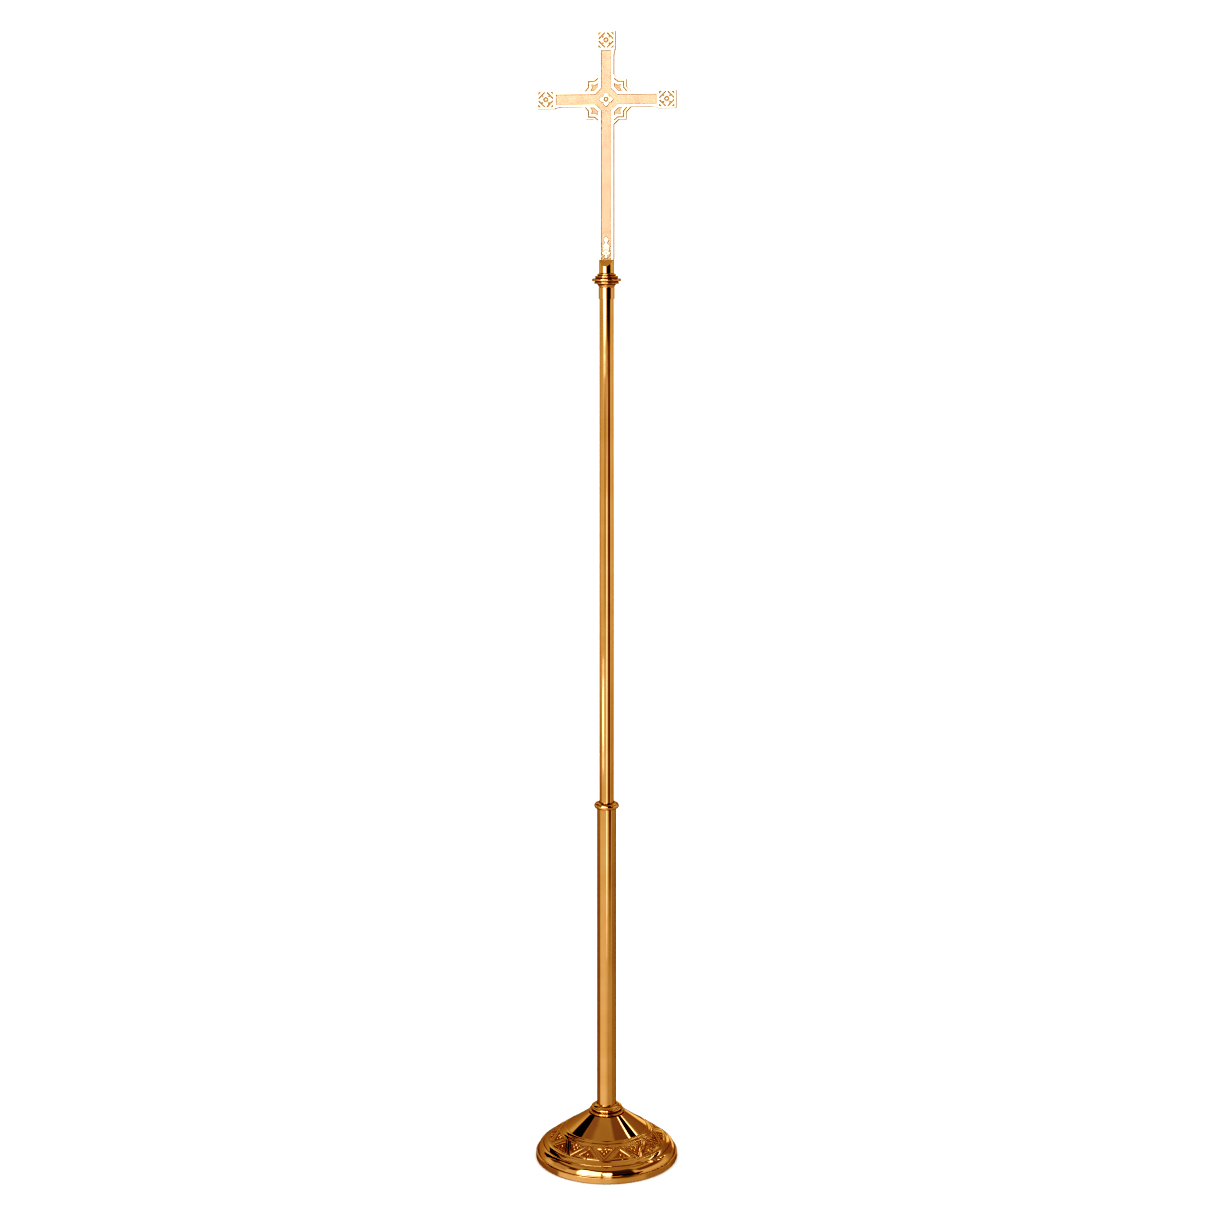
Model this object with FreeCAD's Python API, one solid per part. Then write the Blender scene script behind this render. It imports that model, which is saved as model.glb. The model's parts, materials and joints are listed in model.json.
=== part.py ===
"""A brass processional cross: a staff with a cast cross, standing in a weighted base.

Millimetres, +Z up. The origin is the middle of the base's underside, the staff stands on the
Z axis, and the arms of the cross lie along X, so that the front of the cross looks along -Y.
"""

import FreeCAD, Part
import os
from math import cos, pi, sin

Vector = FreeCAD.Vector
X_AXIS = Vector(1, 0, 0)
Y_AXIS = Vector(0, 1, 0)
Z_AXIS = Vector(0, 0, 1)

# ---- driving dimensions ----------------------------------------------------------------------

FIT = 0.05  # radial or side clearance of a part that is pushed into another
RUN = 0.07  # radial clearance of a part that slides or turns in another

# base
BASE_R = 140.0
FELT_R = 133.0
FELT_T = 2.0
PLATE_R = 134.0
PLATE_T = 2.0
RIM_FOOT_Z = 1.0
RIM_R_IN = 126.5
RIM_TOP_Z = 25.0
BAND_FOOT_R = 129.0
BAND_SLOPE_R = 128.5
BAND_SLOPE_Z = 26.0
CONE_SLOPE = 0.675  # rise over run of the base's upper surface
SHELL_T = 2.2  # wall of the base's brass shells, measured upright
ORNAMENT_R_OUT = 115.7
ORNAMENT_R_IN = 89.0
ORNAMENT_DEPTH = 1.0
RIDGE_R = 82.0
RIDGE_BEAD_R = 2.6
TRIANGLES = 10  # pointing up, with as many between them pointing down
TRIANGLE_RIB = 2.4
TRIANGLE_MARGIN = 1.2  # between a triangle and the edges of the ornamented field
ORNAMENT_PHASE = -83.5  # degrees about Z to the tip of a triangle that points down
CONE_FOOT_R = 79.2
COLLAR_SEAT_Z = 88.0
COLLAR_SEAT_R = 36.5

# weight, and the rod that ties the base together
WEIGHT_R = 126.0
WEIGHT_T = 16.0
HUB_FOOT_R = 62.0
HUB_TOP_R = 44.0
HUB_TOP_Z = 60.0
ROD_R = 6.0
ROD_Z = (6.5, 92.0)
NUT_ACROSS_FLATS = 19.0
NUT_T = 10.0
WASHER_R = 12.0
WASHER_T = 2.5
NUT_POCKET_R = 14.0
SCREWS = 4
SCREW_CIRCLE_R = 95.0
SCREW_R = 2.5
SCREW_HEAD_R = 4.5
SCREW_LENGTH = 12.0

# sleeve: the lower tube that holds the staff
SLEEVE_R = 19.05
SLEEVE_WALL = 1.5
SLEEVE_Z = (64.0, 696.0)
FOOT_COLLAR_TOP_Z = 104.8
PLUG_FLANGE_T = 4.0
PLUG_TOP_Z = 98.0
REST_PAD_T = 4.0
LINER_TOP_Z = 687.5
COLLAR_Z = (688.5, 700.8)
COLLAR_R = 24.7

# staff: the upper tube
STAFF_R = 14.29
STAFF_WALL = 1.65
STAFF_BORE_R = STAFF_R - STAFF_WALL
CUSHION_T = 6.0
CUSHION_R = 12.4
FOOT_PLUG_RIM = 2.0
STAFF_Z = (PLUG_TOP_Z + REST_PAD_T + CUSHION_T + FOOT_PLUG_RIM, 1717.5)
FOOT_PLUG_LENGTH = 30.0
CUSHION_SCREW_R = 3.0
TOP_PLUG_LENGTH = 42.0
FERRULE_Z = (1699.0, 1722.0)
FERRULE_R = 16.1
KNOP_WASHER_T = 0.7
KNOP_WASHER_R = 14.6

# knop and socket
KNOP_TOP_Z = 1750.0
SOCKET_R = 15.0
SOCKET_TOP_Z = 1776.0
SOCKET_BEVEL_DIP_Z = 1763.6  # where the front and back bevels start
STUD_R = 6.35
STUD_Z = (1694.0, 1757.0)
TANG_WIDTH = 16.0
TANG_T = 8.0
TANG_FOOT_Z = 1759.5
PIN_R = 1.5
PIN_Z = 1767.5

# cross
CROSS_Z = 2095.0
CROSS_T = 14.0
BAR_HALF = 15.0
PANEL_HALF = 10.4
PANEL_DEPTH = 1.3
ARM_REACH = 121.4  # from the crossing to the middle of each side terminal
TOP_REACH = 117.4
TERMINAL_HALF = 18.35
TERMINAL_FIELD_HALF = 15.7
FLARE = 2.2
FLARE_LENGTH = 13.0
PANEL_END_GAP = 20.0  # from the middle of a terminal to the end of the bar's panel
CROSSING_CHAMFER = 24.0
FOOT_PANEL_Z = 1781.5
SPANDREL_REACH = 49.3
SPANDREL_SHOULDER = 24.6
SPANDREL_CORNER = 40.1
PETAL_TIP = 14.3
PETAL_HALF = 4.6
PETAL_ROOT = 4.8
ROSETTE_SCALE = 0.96
BOSS_R = 2.6


# ---- helpers ---------------------------------------------------------------------------------

def lathe(*outline):
    """Turns an outline about Z. A point is (r, z); an arc to a point is ((mid r, mid z), (r, z))."""
    edges = []
    first = here = Vector(outline[0][0], 0, outline[0][1])
    for step in outline[1:] + (outline[0],):
        if isinstance(step[0], tuple):
            middle = Vector(step[0][0], 0, step[0][1])
            there = Vector(step[1][0], 0, step[1][1])
            edges.append(Part.Arc(here, middle, there).toShape())
        else:
            there = Vector(step[0], 0, step[1])
            edges.append(Part.makeLine(here, there))
        here = there
    assert here.isEqual(first, 1e-9)
    return Part.Face(Part.Wire(edges)).revolve(Vector(), Z_AXIS, 360)


def tube(r_in, r_out, z_low, z_high):
    return lathe((r_in, z_low), (r_out, z_low), (r_out, z_high), (r_in, z_high))


def rod(r, z_low, z_high):
    return Part.makeCylinder(r, z_high - z_low, Vector(0, 0, z_low))


def block(x_half, y_half, z_low, z_high):
    corner = Vector(-x_half, -y_half, z_low)
    return Part.makeBox(2 * x_half, 2 * y_half, z_high - z_low, corner)


def plate(points, y_low, y_high):
    """A flat outline in the plane of the cross, (x, z) from the crossing, made solid along Y."""
    corners = [Vector(x, y_low, CROSS_Z + z) for x, z in points]
    face = Part.Face(Part.makePolygon(corners + corners[:1]))
    return face.extrude(Vector(0, y_high - y_low, 0))


def turned(points, quarter_turns):
    """An outline turned about its own origin by quarter turns."""
    for _ in range(quarter_turns):
        points = [(-z, x) for x, z in points]
    return points


def shifted(points, dx, dz):
    return [(x + dx, z + dz) for x, z in points]


def around(shape, count, first_angle=0.0):
    """Copies of a shape spaced evenly about Z."""
    step = 360.0 / count
    axis = (Vector(), Z_AXIS)
    return [shape.rotated(*axis, first_angle + step * i) for i in range(count)]


def slope_z(r):
    """Height of the base's conical upper surface at radius r."""
    return BAND_SLOPE_Z + (BAND_SLOPE_R - r) * CONE_SLOPE


# ---- base ------------------------------------------------------------------------------------

def base_felt():
    return rod(FELT_R, 0, FELT_T)


def screw_head(grow):
    """A countersunk head, as high as the base plate is thick."""
    z_low = FELT_T
    z_high = FELT_T + PLATE_T
    head = SCREW_HEAD_R + grow
    return Part.makeCone(head, SCREW_R + grow, z_high - z_low, Vector(SCREW_CIRCLE_R, 0, z_low))


def base_plate():
    disc = rod(PLATE_R, FELT_T, FELT_T + PLATE_T)
    return disc.cut(around(screw_head(FIT), SCREWS, 45))


def base_plate_screws():
    z = FELT_T + PLATE_T
    shank = Part.makeCylinder(SCREW_R, SCREW_LENGTH, Vector(SCREW_CIRCLE_R, 0, z))
    return Part.makeCompound(around(screw_head(0).fuse(shank), SCREWS, 45))


def base_weight():
    z_low = FELT_T + PLATE_T
    bore = ROD_R + FIT
    shoulder_z = z_low + WEIGHT_T
    casting = lathe(
        (bore, z_low),
        (WEIGHT_R, z_low),
        (WEIGHT_R, shoulder_z),
        (HUB_FOOT_R, shoulder_z),
        (HUB_TOP_R, HUB_TOP_Z),
        (bore, HUB_TOP_Z),
    )
    pocket = rod(NUT_POCKET_R, z_low, z_low + NUT_T + WASHER_T + 2)
    hole = Part.makeCylinder(SCREW_R + FIT, SCREW_LENGTH + 1, Vector(SCREW_CIRCLE_R, 0, z_low))
    return casting.cut([pocket] + around(hole, SCREWS, 45))


def base_rim():
    """The base's outer moulding: a round-edged foot below a flatter bead."""
    rebate_r = PLATE_R + FIT
    rebate_z = FELT_T + PLATE_T + FIT
    return lathe(
        (rebate_r, RIM_FOOT_Z),
        (138.4, RIM_FOOT_Z),
        ((BASE_R, 5.6), (137.6, 11.2)),
        (136.4, 12.0),
        ((136.4, 18.4), (131.6, 24.0)),
        (129.6, RIM_TOP_Z),
        (RIM_R_IN, RIM_TOP_Z),
        (RIM_R_IN, rebate_z),
        (rebate_r, rebate_z),
    )


def ornament_relief():
    """The layer of metal that stands above the floor of the ornamented band."""
    low = -ORNAMENT_DEPTH - 0.3
    return lathe(
        (ORNAMENT_R_IN, slope_z(ORNAMENT_R_IN) + low),
        (ORNAMENT_R_OUT, slope_z(ORNAMENT_R_OUT) + low),
        (ORNAMENT_R_OUT, slope_z(ORNAMENT_R_OUT) - 0.1),
        (ORNAMENT_R_IN, slope_z(ORNAMENT_R_IN) - 0.1),
    )


def triangle_rib(points_up):
    """An upright prism whose section, seen from above, is a triangle's outline, its tip at X."""
    outer_r = ORNAMENT_R_OUT - TRIANGLE_MARGIN
    inner_r = ORNAMENT_R_IN + TRIANGLE_MARGIN
    foot_r, tip_r, share = (outer_r, inner_r, 0.86) if points_up else (inner_r, outer_r, 0.98)
    inward = -1 if points_up else 1
    half_angle = share * pi / TRIANGLES

    def outline(inset):
        foot = foot_r + inward * inset
        tip = tip_r - inward * inset * 2.1
        spread = half_angle - inset * 1.75 / foot
        corners = [
            Vector(foot * cos(spread), foot * sin(spread), 0),
            Vector(tip, 0, 0),
            Vector(foot * cos(spread), -foot * sin(spread), 0),
        ]
        return Part.Face(Part.makePolygon(corners + corners[:1]))

    ring = outline(0).cut(outline(TRIANGLE_RIB))
    return ring.extrude(Vector(0, 0, slope_z(0)))


def base_band():
    """The cast ring whose sloping face carries the triangles."""
    wall = SHELL_T + 1.0
    ledge_z = slope_z(CONE_FOOT_R) - 2.2
    floor = -ORNAMENT_DEPTH
    ring = lathe(
        (RIM_R_IN, RIM_TOP_Z),
        (BAND_FOOT_R, RIM_TOP_Z),
        (BAND_SLOPE_R, BAND_SLOPE_Z),
        (ORNAMENT_R_OUT + 0.6, slope_z(ORNAMENT_R_OUT + 0.6)),
        (ORNAMENT_R_OUT, slope_z(ORNAMENT_R_OUT) + floor),
        (ORNAMENT_R_IN, slope_z(ORNAMENT_R_IN) + floor),
        (ORNAMENT_R_IN - 0.6, slope_z(ORNAMENT_R_IN - 0.6)),
        (RIDGE_R + RIDGE_BEAD_R, slope_z(RIDGE_R + RIDGE_BEAD_R)),
        ((RIDGE_R, slope_z(RIDGE_R) + 1.3), (CONE_FOOT_R + FIT, slope_z(CONE_FOOT_R) + 0.2)),
        (CONE_FOOT_R + FIT, ledge_z),
        (CONE_FOOT_R - 3.5, ledge_z),
        (CONE_FOOT_R - 3.5, ledge_z - 2.0),
        (ORNAMENT_R_OUT, slope_z(ORNAMENT_R_OUT) - wall - 1.2),
        (RIM_R_IN, RIM_TOP_Z + 0.2),
    )
    ribs = around(triangle_rib(False), TRIANGLES, ORNAMENT_PHASE)
    ribs += around(triangle_rib(True), TRIANGLES, ORNAMENT_PHASE + 180.0 / TRIANGLES)
    relief = ornament_relief()
    return ring.fuse([relief.common(rib) for rib in ribs])


def base_cone():
    """The spun cover between the band and the foot collar."""
    wall = SHELL_T - 0.3
    ledge_z = slope_z(CONE_FOOT_R) - 2.2
    bore = SLEEVE_R + FIT
    return lathe(
        (CONE_FOOT_R - 2.6, ledge_z),
        (CONE_FOOT_R, ledge_z),
        (CONE_FOOT_R, slope_z(CONE_FOOT_R) - 0.2),
        (COLLAR_SEAT_R, COLLAR_SEAT_Z),
        (bore, COLLAR_SEAT_Z),
        (bore, COLLAR_SEAT_Z - wall),
        (COLLAR_SEAT_R - 1.2, COLLAR_SEAT_Z - wall),
    )


def foot_collar():
    """The turned collar where the sleeve enters the base: two beads under a sloping top."""
    z = COLLAR_SEAT_Z
    bore = SLEEVE_R + FIT
    return lathe(
        (bore, z),
        (33.4, z),
        ((35.0, z + 2.3), (33.0, z + 4.6)),
        (28.4, z + 5.2),
        ((30.8, z + 8.4), (28.4, z + 11.6)),
        (27.2, z + 11.9),
        ((24.2, z + 14.4), (20.6, z + 15.8)),
        (20.2, FOOT_COLLAR_TOP_Z),
        (bore, FOOT_COLLAR_TOP_Z),
    )


def tie_rod():
    return rod(ROD_R, *ROD_Z)


def tie_nut():
    across_corners = NUT_ACROSS_FLATS / cos(pi / 6)
    z_low = FELT_T + PLATE_T + 2.0
    corners = [
        Vector(across_corners / 2 * cos(k * pi / 3), across_corners / 2 * sin(k * pi / 3), z_low)
        for k in range(7)
    ]
    prism = Part.Face(Part.makePolygon(corners)).extrude(Vector(0, 0, NUT_T))
    return prism.cut(rod(ROD_R + FIT, z_low - 1, z_low + NUT_T + 1))


def lock_washer():
    z_low = FELT_T + PLATE_T + 2.0 + NUT_T
    return tube(ROD_R + FIT, WASHER_R, z_low, z_low + WASHER_T)


# ---- sleeve ----------------------------------------------------------------------------------

def sleeve_bottom_plug():
    inside = SLEEVE_R - SLEEVE_WALL - FIT
    flange_z = HUB_TOP_Z + PLUG_FLANGE_T
    thread_top = ROD_Z[1] + 1.0
    return lathe(
        (ROD_R + FIT, HUB_TOP_Z),
        (SLEEVE_R, HUB_TOP_Z),
        (SLEEVE_R, flange_z),
        (inside, flange_z),
        (inside, PLUG_TOP_Z),
        (0, PLUG_TOP_Z),
        (0, thread_top),
        (ROD_R + FIT, thread_top),
    )


def sleeve_tube():
    return tube(SLEEVE_R - SLEEVE_WALL, SLEEVE_R, *SLEEVE_Z)


def staff_rest_pad():
    return rod(SLEEVE_R - SLEEVE_WALL - 0.5, PLUG_TOP_Z, PLUG_TOP_Z + REST_PAD_T)


def sleeve_liner():
    """The smooth plastic lining that the staff slides in."""
    outside = SLEEVE_R - SLEEVE_WALL - RUN
    inside = STAFF_R + RUN
    z_low = PLUG_TOP_Z + REST_PAD_T + 0.5
    return tube(inside, outside, z_low, LINER_TOP_Z)


def sleeve_collar():
    """The half-round bead on the sleeve's mouth, which guides the staff."""
    z_low, z_high = COLLAR_Z
    z_middle = (z_low + z_high) / 2
    bore = STAFF_R + RUN
    return lathe(
        (SLEEVE_R + FIT, z_low),
        (20.0, z_low),
        ((COLLAR_R, z_middle), (19.6, z_high - 0.6)),
        (17.6, z_high),
        (bore, z_high),
        (bore, SLEEVE_Z[1] + FIT),
        (SLEEVE_R + FIT, SLEEVE_Z[1] + FIT),
    )


# ---- staff -----------------------------------------------------------------------------------

def staff_tube():
    return tube(STAFF_BORE_R, STAFF_R, *STAFF_Z)


def staff_foot_plug():
    z_low = STAFF_Z[0] - FOOT_PLUG_RIM
    hole = rod(CUSHION_SCREW_R + FIT, z_low - 1, z_low + 20)
    plug = lathe(
        (0, z_low),
        (STAFF_R - 0.6, z_low),
        (STAFF_R, z_low + 0.6),
        (STAFF_R, STAFF_Z[0]),
        (STAFF_BORE_R - FIT, STAFF_Z[0]),
        (STAFF_BORE_R - FIT, z_low + FOOT_PLUG_LENGTH),
        (0, z_low + FOOT_PLUG_LENGTH),
    )
    return plug.cut(hole)


def staff_foot_cushion():
    """A rubber button with a recess for the head of its screw."""
    z_high = STAFF_Z[0] - FOOT_PLUG_RIM
    z_low = z_high - CUSHION_T
    return lathe(
        (CUSHION_SCREW_R + FIT, z_high),
        (CUSHION_R, z_high),
        (CUSHION_R, z_low + 1.5),
        ((CUSHION_R - 0.5, z_low + 0.5), (CUSHION_R - 1.5, z_low)),
        (5.6, z_low),
        (5.6, z_low + 3.0),
        (CUSHION_SCREW_R + FIT, z_low + 3.0),
    )


def staff_foot_screw():
    z_seat = STAFF_Z[0] - FOOT_PLUG_RIM - CUSHION_T + 3.0
    head = rod(5.2, z_seat - 2.4, z_seat)
    return head.fuse(rod(CUSHION_SCREW_R, z_seat, z_seat + 20))


def staff_top_plug():
    z_high = STAFF_Z[1]
    return tube(STUD_R + RUN, STAFF_BORE_R - FIT, z_high - TOP_PLUG_LENGTH, z_high)


def staff_ferrule():
    """The cap on the staff's top end, which the knop seats on."""
    z_low, z_high = FERRULE_Z
    seat = STAFF_Z[1] + FIT
    return lathe(
        (STAFF_R + FIT, z_low),
        (FERRULE_R - 0.4, z_low),
        (FERRULE_R, z_low + 0.4),
        (FERRULE_R, z_high - 0.4),
        (FERRULE_R - 0.4, z_high),
        (STUD_R + RUN, z_high),
        (STUD_R + RUN, seat),
        (STAFF_R + FIT, seat),
    )


# ---- knop ------------------------------------------------------------------------------------

def knop_washer():
    z_low = FERRULE_Z[1]
    return tube(STUD_R + FIT, KNOP_WASHER_R, z_low, z_low + KNOP_WASHER_T)


def knop():
    """A turned stack of four rings over a flared neck."""
    z_low = FERRULE_Z[1] + KNOP_WASHER_T
    bore = STUD_R + FIT
    return lathe(
        (bore, z_low),
        (FERRULE_R, z_low),
        ((17.8, z_low + 4.2), (22.6, z_low + 6.4)),
        ((25.0, z_low + 8.2), (23.4, z_low + 10.2)),
        (24.6, z_low + 11.6),
        ((29.3, z_low + 14.7), (24.8, z_low + 17.8)),
        (21.6, z_low + 18.8),
        ((23.6, z_low + 20.8), (21.0, z_low + 22.6)),
        (17.4, z_low + 23.2),
        ((18.9, z_low + 24.8), (17.0, z_low + 26.4)),
        (SOCKET_R + 0.4, KNOP_TOP_Z),
        (bore, KNOP_TOP_Z),
    )


# ---- socket and cross ------------------------------------------------------------------------

def socket_bevel(side):
    """A wedge that takes the round stub back to the flat face of the cross, front or back."""
    face_y = side * CROSS_T / 2
    out_y = side * (SOCKET_R + 1)
    rise_per_mm = (SOCKET_TOP_Z - SOCKET_BEVEL_DIP_Z) / (SOCKET_R - CROSS_T / 2)
    z_out = SOCKET_BEVEL_DIP_Z - rise_per_mm
    corners = [
        Vector(-SOCKET_R - 1, face_y, SOCKET_TOP_Z),
        Vector(-SOCKET_R - 1, out_y, z_out),
        Vector(-SOCKET_R - 1, out_y, SOCKET_TOP_Z + 1),
        Vector(-SOCKET_R - 1, face_y, SOCKET_TOP_Z + 1),
    ]
    face = Part.Face(Part.makePolygon(corners + corners[:1]))
    return face.extrude(Vector(2 * SOCKET_R + 2, 0, 0))


def pin_hole(r, half_length):
    return Part.makeCylinder(r, 2 * half_length, Vector(-half_length, 0, PIN_Z), X_AXIS)


def cross_socket():
    stub = rod(SOCKET_R, KNOP_TOP_Z, SOCKET_TOP_Z)
    pocket = block(TANG_WIDTH / 2 + FIT, TANG_T / 2 + FIT, TANG_FOOT_Z - 0.5, SOCKET_TOP_Z + 1)
    stud_hole = rod(STUD_R + FIT, KNOP_TOP_Z - 1, STUD_Z[1] + 0.5)
    cuts = [pocket, stud_hole, pin_hole(PIN_R + FIT, SOCKET_R + 1)]
    return stub.cut(cuts + [socket_bevel(-1), socket_bevel(1)])


def cross_stud():
    low, high = STUD_Z
    return lathe((0, low), (STUD_R - 1, low), (STUD_R, low + 1), (STUD_R, high), (0, high))


def cross_pin():
    return pin_hole(PIN_R, SOCKET_R - 0.2)


def arm_outline(reach):
    """Half an arm along +Z: the bar, its flare and its square terminal."""
    flare_top = reach - TERMINAL_HALF
    flare_foot = flare_top - FLARE_LENGTH
    right = [
        (BAR_HALF, 0),
        (BAR_HALF, flare_foot),
        (BAR_HALF + FLARE * 0.35, (flare_foot + flare_top) / 2),
        (BAR_HALF + FLARE, flare_top),
        (TERMINAL_HALF, flare_top),
        (TERMINAL_HALF, reach + TERMINAL_HALF),
    ]
    return right + [(-x, z) for x, z in reversed(right)]


def spandrel_outline():
    """The stepped corner plate between two arms, in the quarter where x and z are positive."""
    return [
        (0, 0),
        (SPANDREL_REACH, 0),
        (SPANDREL_REACH, BAR_HALF),
        (SPANDREL_CORNER, SPANDREL_SHOULDER),
        (SPANDREL_CORNER, SPANDREL_CORNER),
        (SPANDREL_SHOULDER, SPANDREL_CORNER),
        (BAR_HALF, SPANDREL_REACH),
        (0, SPANDREL_REACH),
    ]


def spandrel_recess():
    return [(16.5, 24), (22, 29.5), (30, 30), (29.5, 22), (24, 16.5), (16.5, 16.5)]


def spandrel_groove():
    outer = [(16.7, 42.4), (23.4, 36.7), (36.7, 36.7), (36.7, 23.4), (42.4, 16.7)]
    inner = [(39.4, 16.7), (33.9, 22.1), (33.9, 33.9), (22.1, 33.9), (16.7, 39.4)]
    return outer + inner


def panel_outlines():
    """The recessed field of the bars: a plus with chamfered inner corners."""
    low = FOOT_PANEL_Z - CROSS_Z
    side = ARM_REACH - PANEL_END_GAP
    top = TOP_REACH - PANEL_END_GAP
    h, c = PANEL_HALF, CROSSING_CHAMFER
    return [
        (-h, low), (h, low), (h, -c), (c, -h), (side, -h), (side, h), (c, h), (h, c),
        (h, top), (-h, top), (-h, c), (-c, h), (-side, h), (-side, -h), (-c, -h), (-h, -c),
    ]


def petal():
    """One leaf of a rosette, pointing along +Z."""
    middle = (PETAL_ROOT + PETAL_TIP) / 2
    return [
        (0, PETAL_ROOT),
        (PETAL_HALF, middle - 0.6),
        (PETAL_HALF * 0.75, middle + 1.8),
        (0, PETAL_TIP),
        (-PETAL_HALF * 0.75, middle + 1.8),
        (-PETAL_HALF, middle - 0.6),
    ]


def corner_ridge():
    """A raised diagonal bar across one corner of a terminal, in the quarter x, z > 0."""
    inner, outer = 19.4, 22.2
    edge = TERMINAL_FIELD_HALF
    return [(inner - edge, edge), (outer - edge, edge), (edge, outer - edge), (edge, inner - edge)]


def rosette(x, z, scale, y_low, y_high):
    leaf = [(px * scale, pz * scale) for px, pz in petal()]
    leaves = [plate(shifted(turned(leaf, k), x, z), y_low, y_high) for k in range(4)]
    boss = Part.makeCylinder(BOSS_R, y_high - y_low, Vector(x, y_low, CROSS_Z + z), Y_AXIS)
    return leaves + [boss]


def foot_ornament():
    """Outlines of the little finial that rises up the foot of the cross, z from the crossing."""
    def rhomb(z, half_w, half_h):
        middle = z - CROSS_Z
        return [(0, middle - half_h), (half_w, middle), (0, middle + half_h), (-half_w, middle)]

    stem = [(-2, FOOT_PANEL_Z - CROSS_Z), (2, FOOT_PANEL_Z - CROSS_Z), (2, -306), (-2, -306)]
    return [rhomb(1816, 4.6, 6.8), rhomb(1802.5, 7.7, 7.4), rhomb(1791, 8.5, 7.0), stem]


def terminals():
    """Middle of each terminal, (x, z) from the crossing."""
    return [(0, TOP_REACH), (-ARM_REACH, 0), (ARM_REACH, 0)]


def cross_blank():
    y = CROSS_T / 2
    foot = [(-BAR_HALF, SOCKET_TOP_Z - CROSS_Z), (BAR_HALF, SOCKET_TOP_Z - CROSS_Z)]
    foot += [(BAR_HALF, 0), (-BAR_HALF, 0)]
    side_arm = arm_outline(ARM_REACH)
    outlines = [foot, arm_outline(TOP_REACH), turned(side_arm, 1), turned(side_arm, 3)]
    outlines += [turned(spandrel_outline(), k) for k in range(4)]
    tang = block(TANG_WIDTH / 2, TANG_T / 2, TANG_FOOT_Z, SOCKET_TOP_Z + 1)
    solids = [plate(points, -y, y) for points in outlines]
    return solids[0].fuse(solids[1:] + [tang])


def square(half, x, z):
    return shifted([(-half, -half), (half, -half), (half, half), (-half, half)], x, z)


def cross_recesses(y_low, y_high):
    """Everything that is sunk into one face of the cross."""
    fields = [panel_outlines()]
    fields += [square(TERMINAL_FIELD_HALF, x, z) for x, z in terminals()]
    for k in range(4):
        fields += [turned(spandrel_recess(), k), turned(spandrel_groove(), k)]
    return [plate(points, y_low, y_high) for points in fields]


def cross_relief(y_low, y_high):
    """Everything that stands up again inside the recesses of one face."""
    raised = rosette(0, 0, ROSETTE_SCALE, y_low, y_high)
    for x, z in terminals():
        raised += rosette(x, z, 1.0, y_low, y_high)
        for k in range(4):
            raised.append(plate(shifted(turned(corner_ridge(), k), x, z), y_low, y_high))
    raised += [plate(points, y_low, y_high) for points in foot_ornament()]
    return raised


def cross_casting():
    """The cast cross, ornamented alike on front and back."""
    face = CROSS_T / 2
    floor = face - PANEL_DEPTH
    casting = cross_blank()
    casting = casting.cut(cross_recesses(floor, face + 1) + cross_recesses(-face - 1, -floor))
    casting = casting.cut([pin_hole(PIN_R + FIT, SOCKET_R)])
    relief_top = face - 0.2
    relief = cross_relief(floor - 0.3, relief_top) + cross_relief(-relief_top, -floor + 0.3)
    return casting.fuse(relief).removeSplitter()


NODES = [
    base_felt, base_plate, base_plate_screws, base_weight, base_rim, base_band, base_cone,
    foot_collar, tie_rod, tie_nut, lock_washer, sleeve_bottom_plug, sleeve_tube, staff_rest_pad,
    sleeve_collar, sleeve_liner, staff_tube, staff_foot_plug, staff_foot_cushion,
    staff_foot_screw, staff_top_plug, staff_ferrule, knop_washer, knop, cross_socket, cross_stud,
    cross_pin, cross_casting,
]


def main():
    os.makedirs("parts", exist_ok=True)
    for make in NODES:
        make().exportStep(f"parts/{make.__name__}.step")


main()
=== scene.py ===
"""Looks of a brass processional cross: a cast cross on a turned staff, in a weighted round base.

The scene is in metres. Outlines are written in millimetres and made into metres by MM.
The front of the cross looks along -Y, and the staff stands on the Z axis.
"""

import json
from math import atan2, cos, hypot, pi, radians, sin, sqrt, tau

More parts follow.
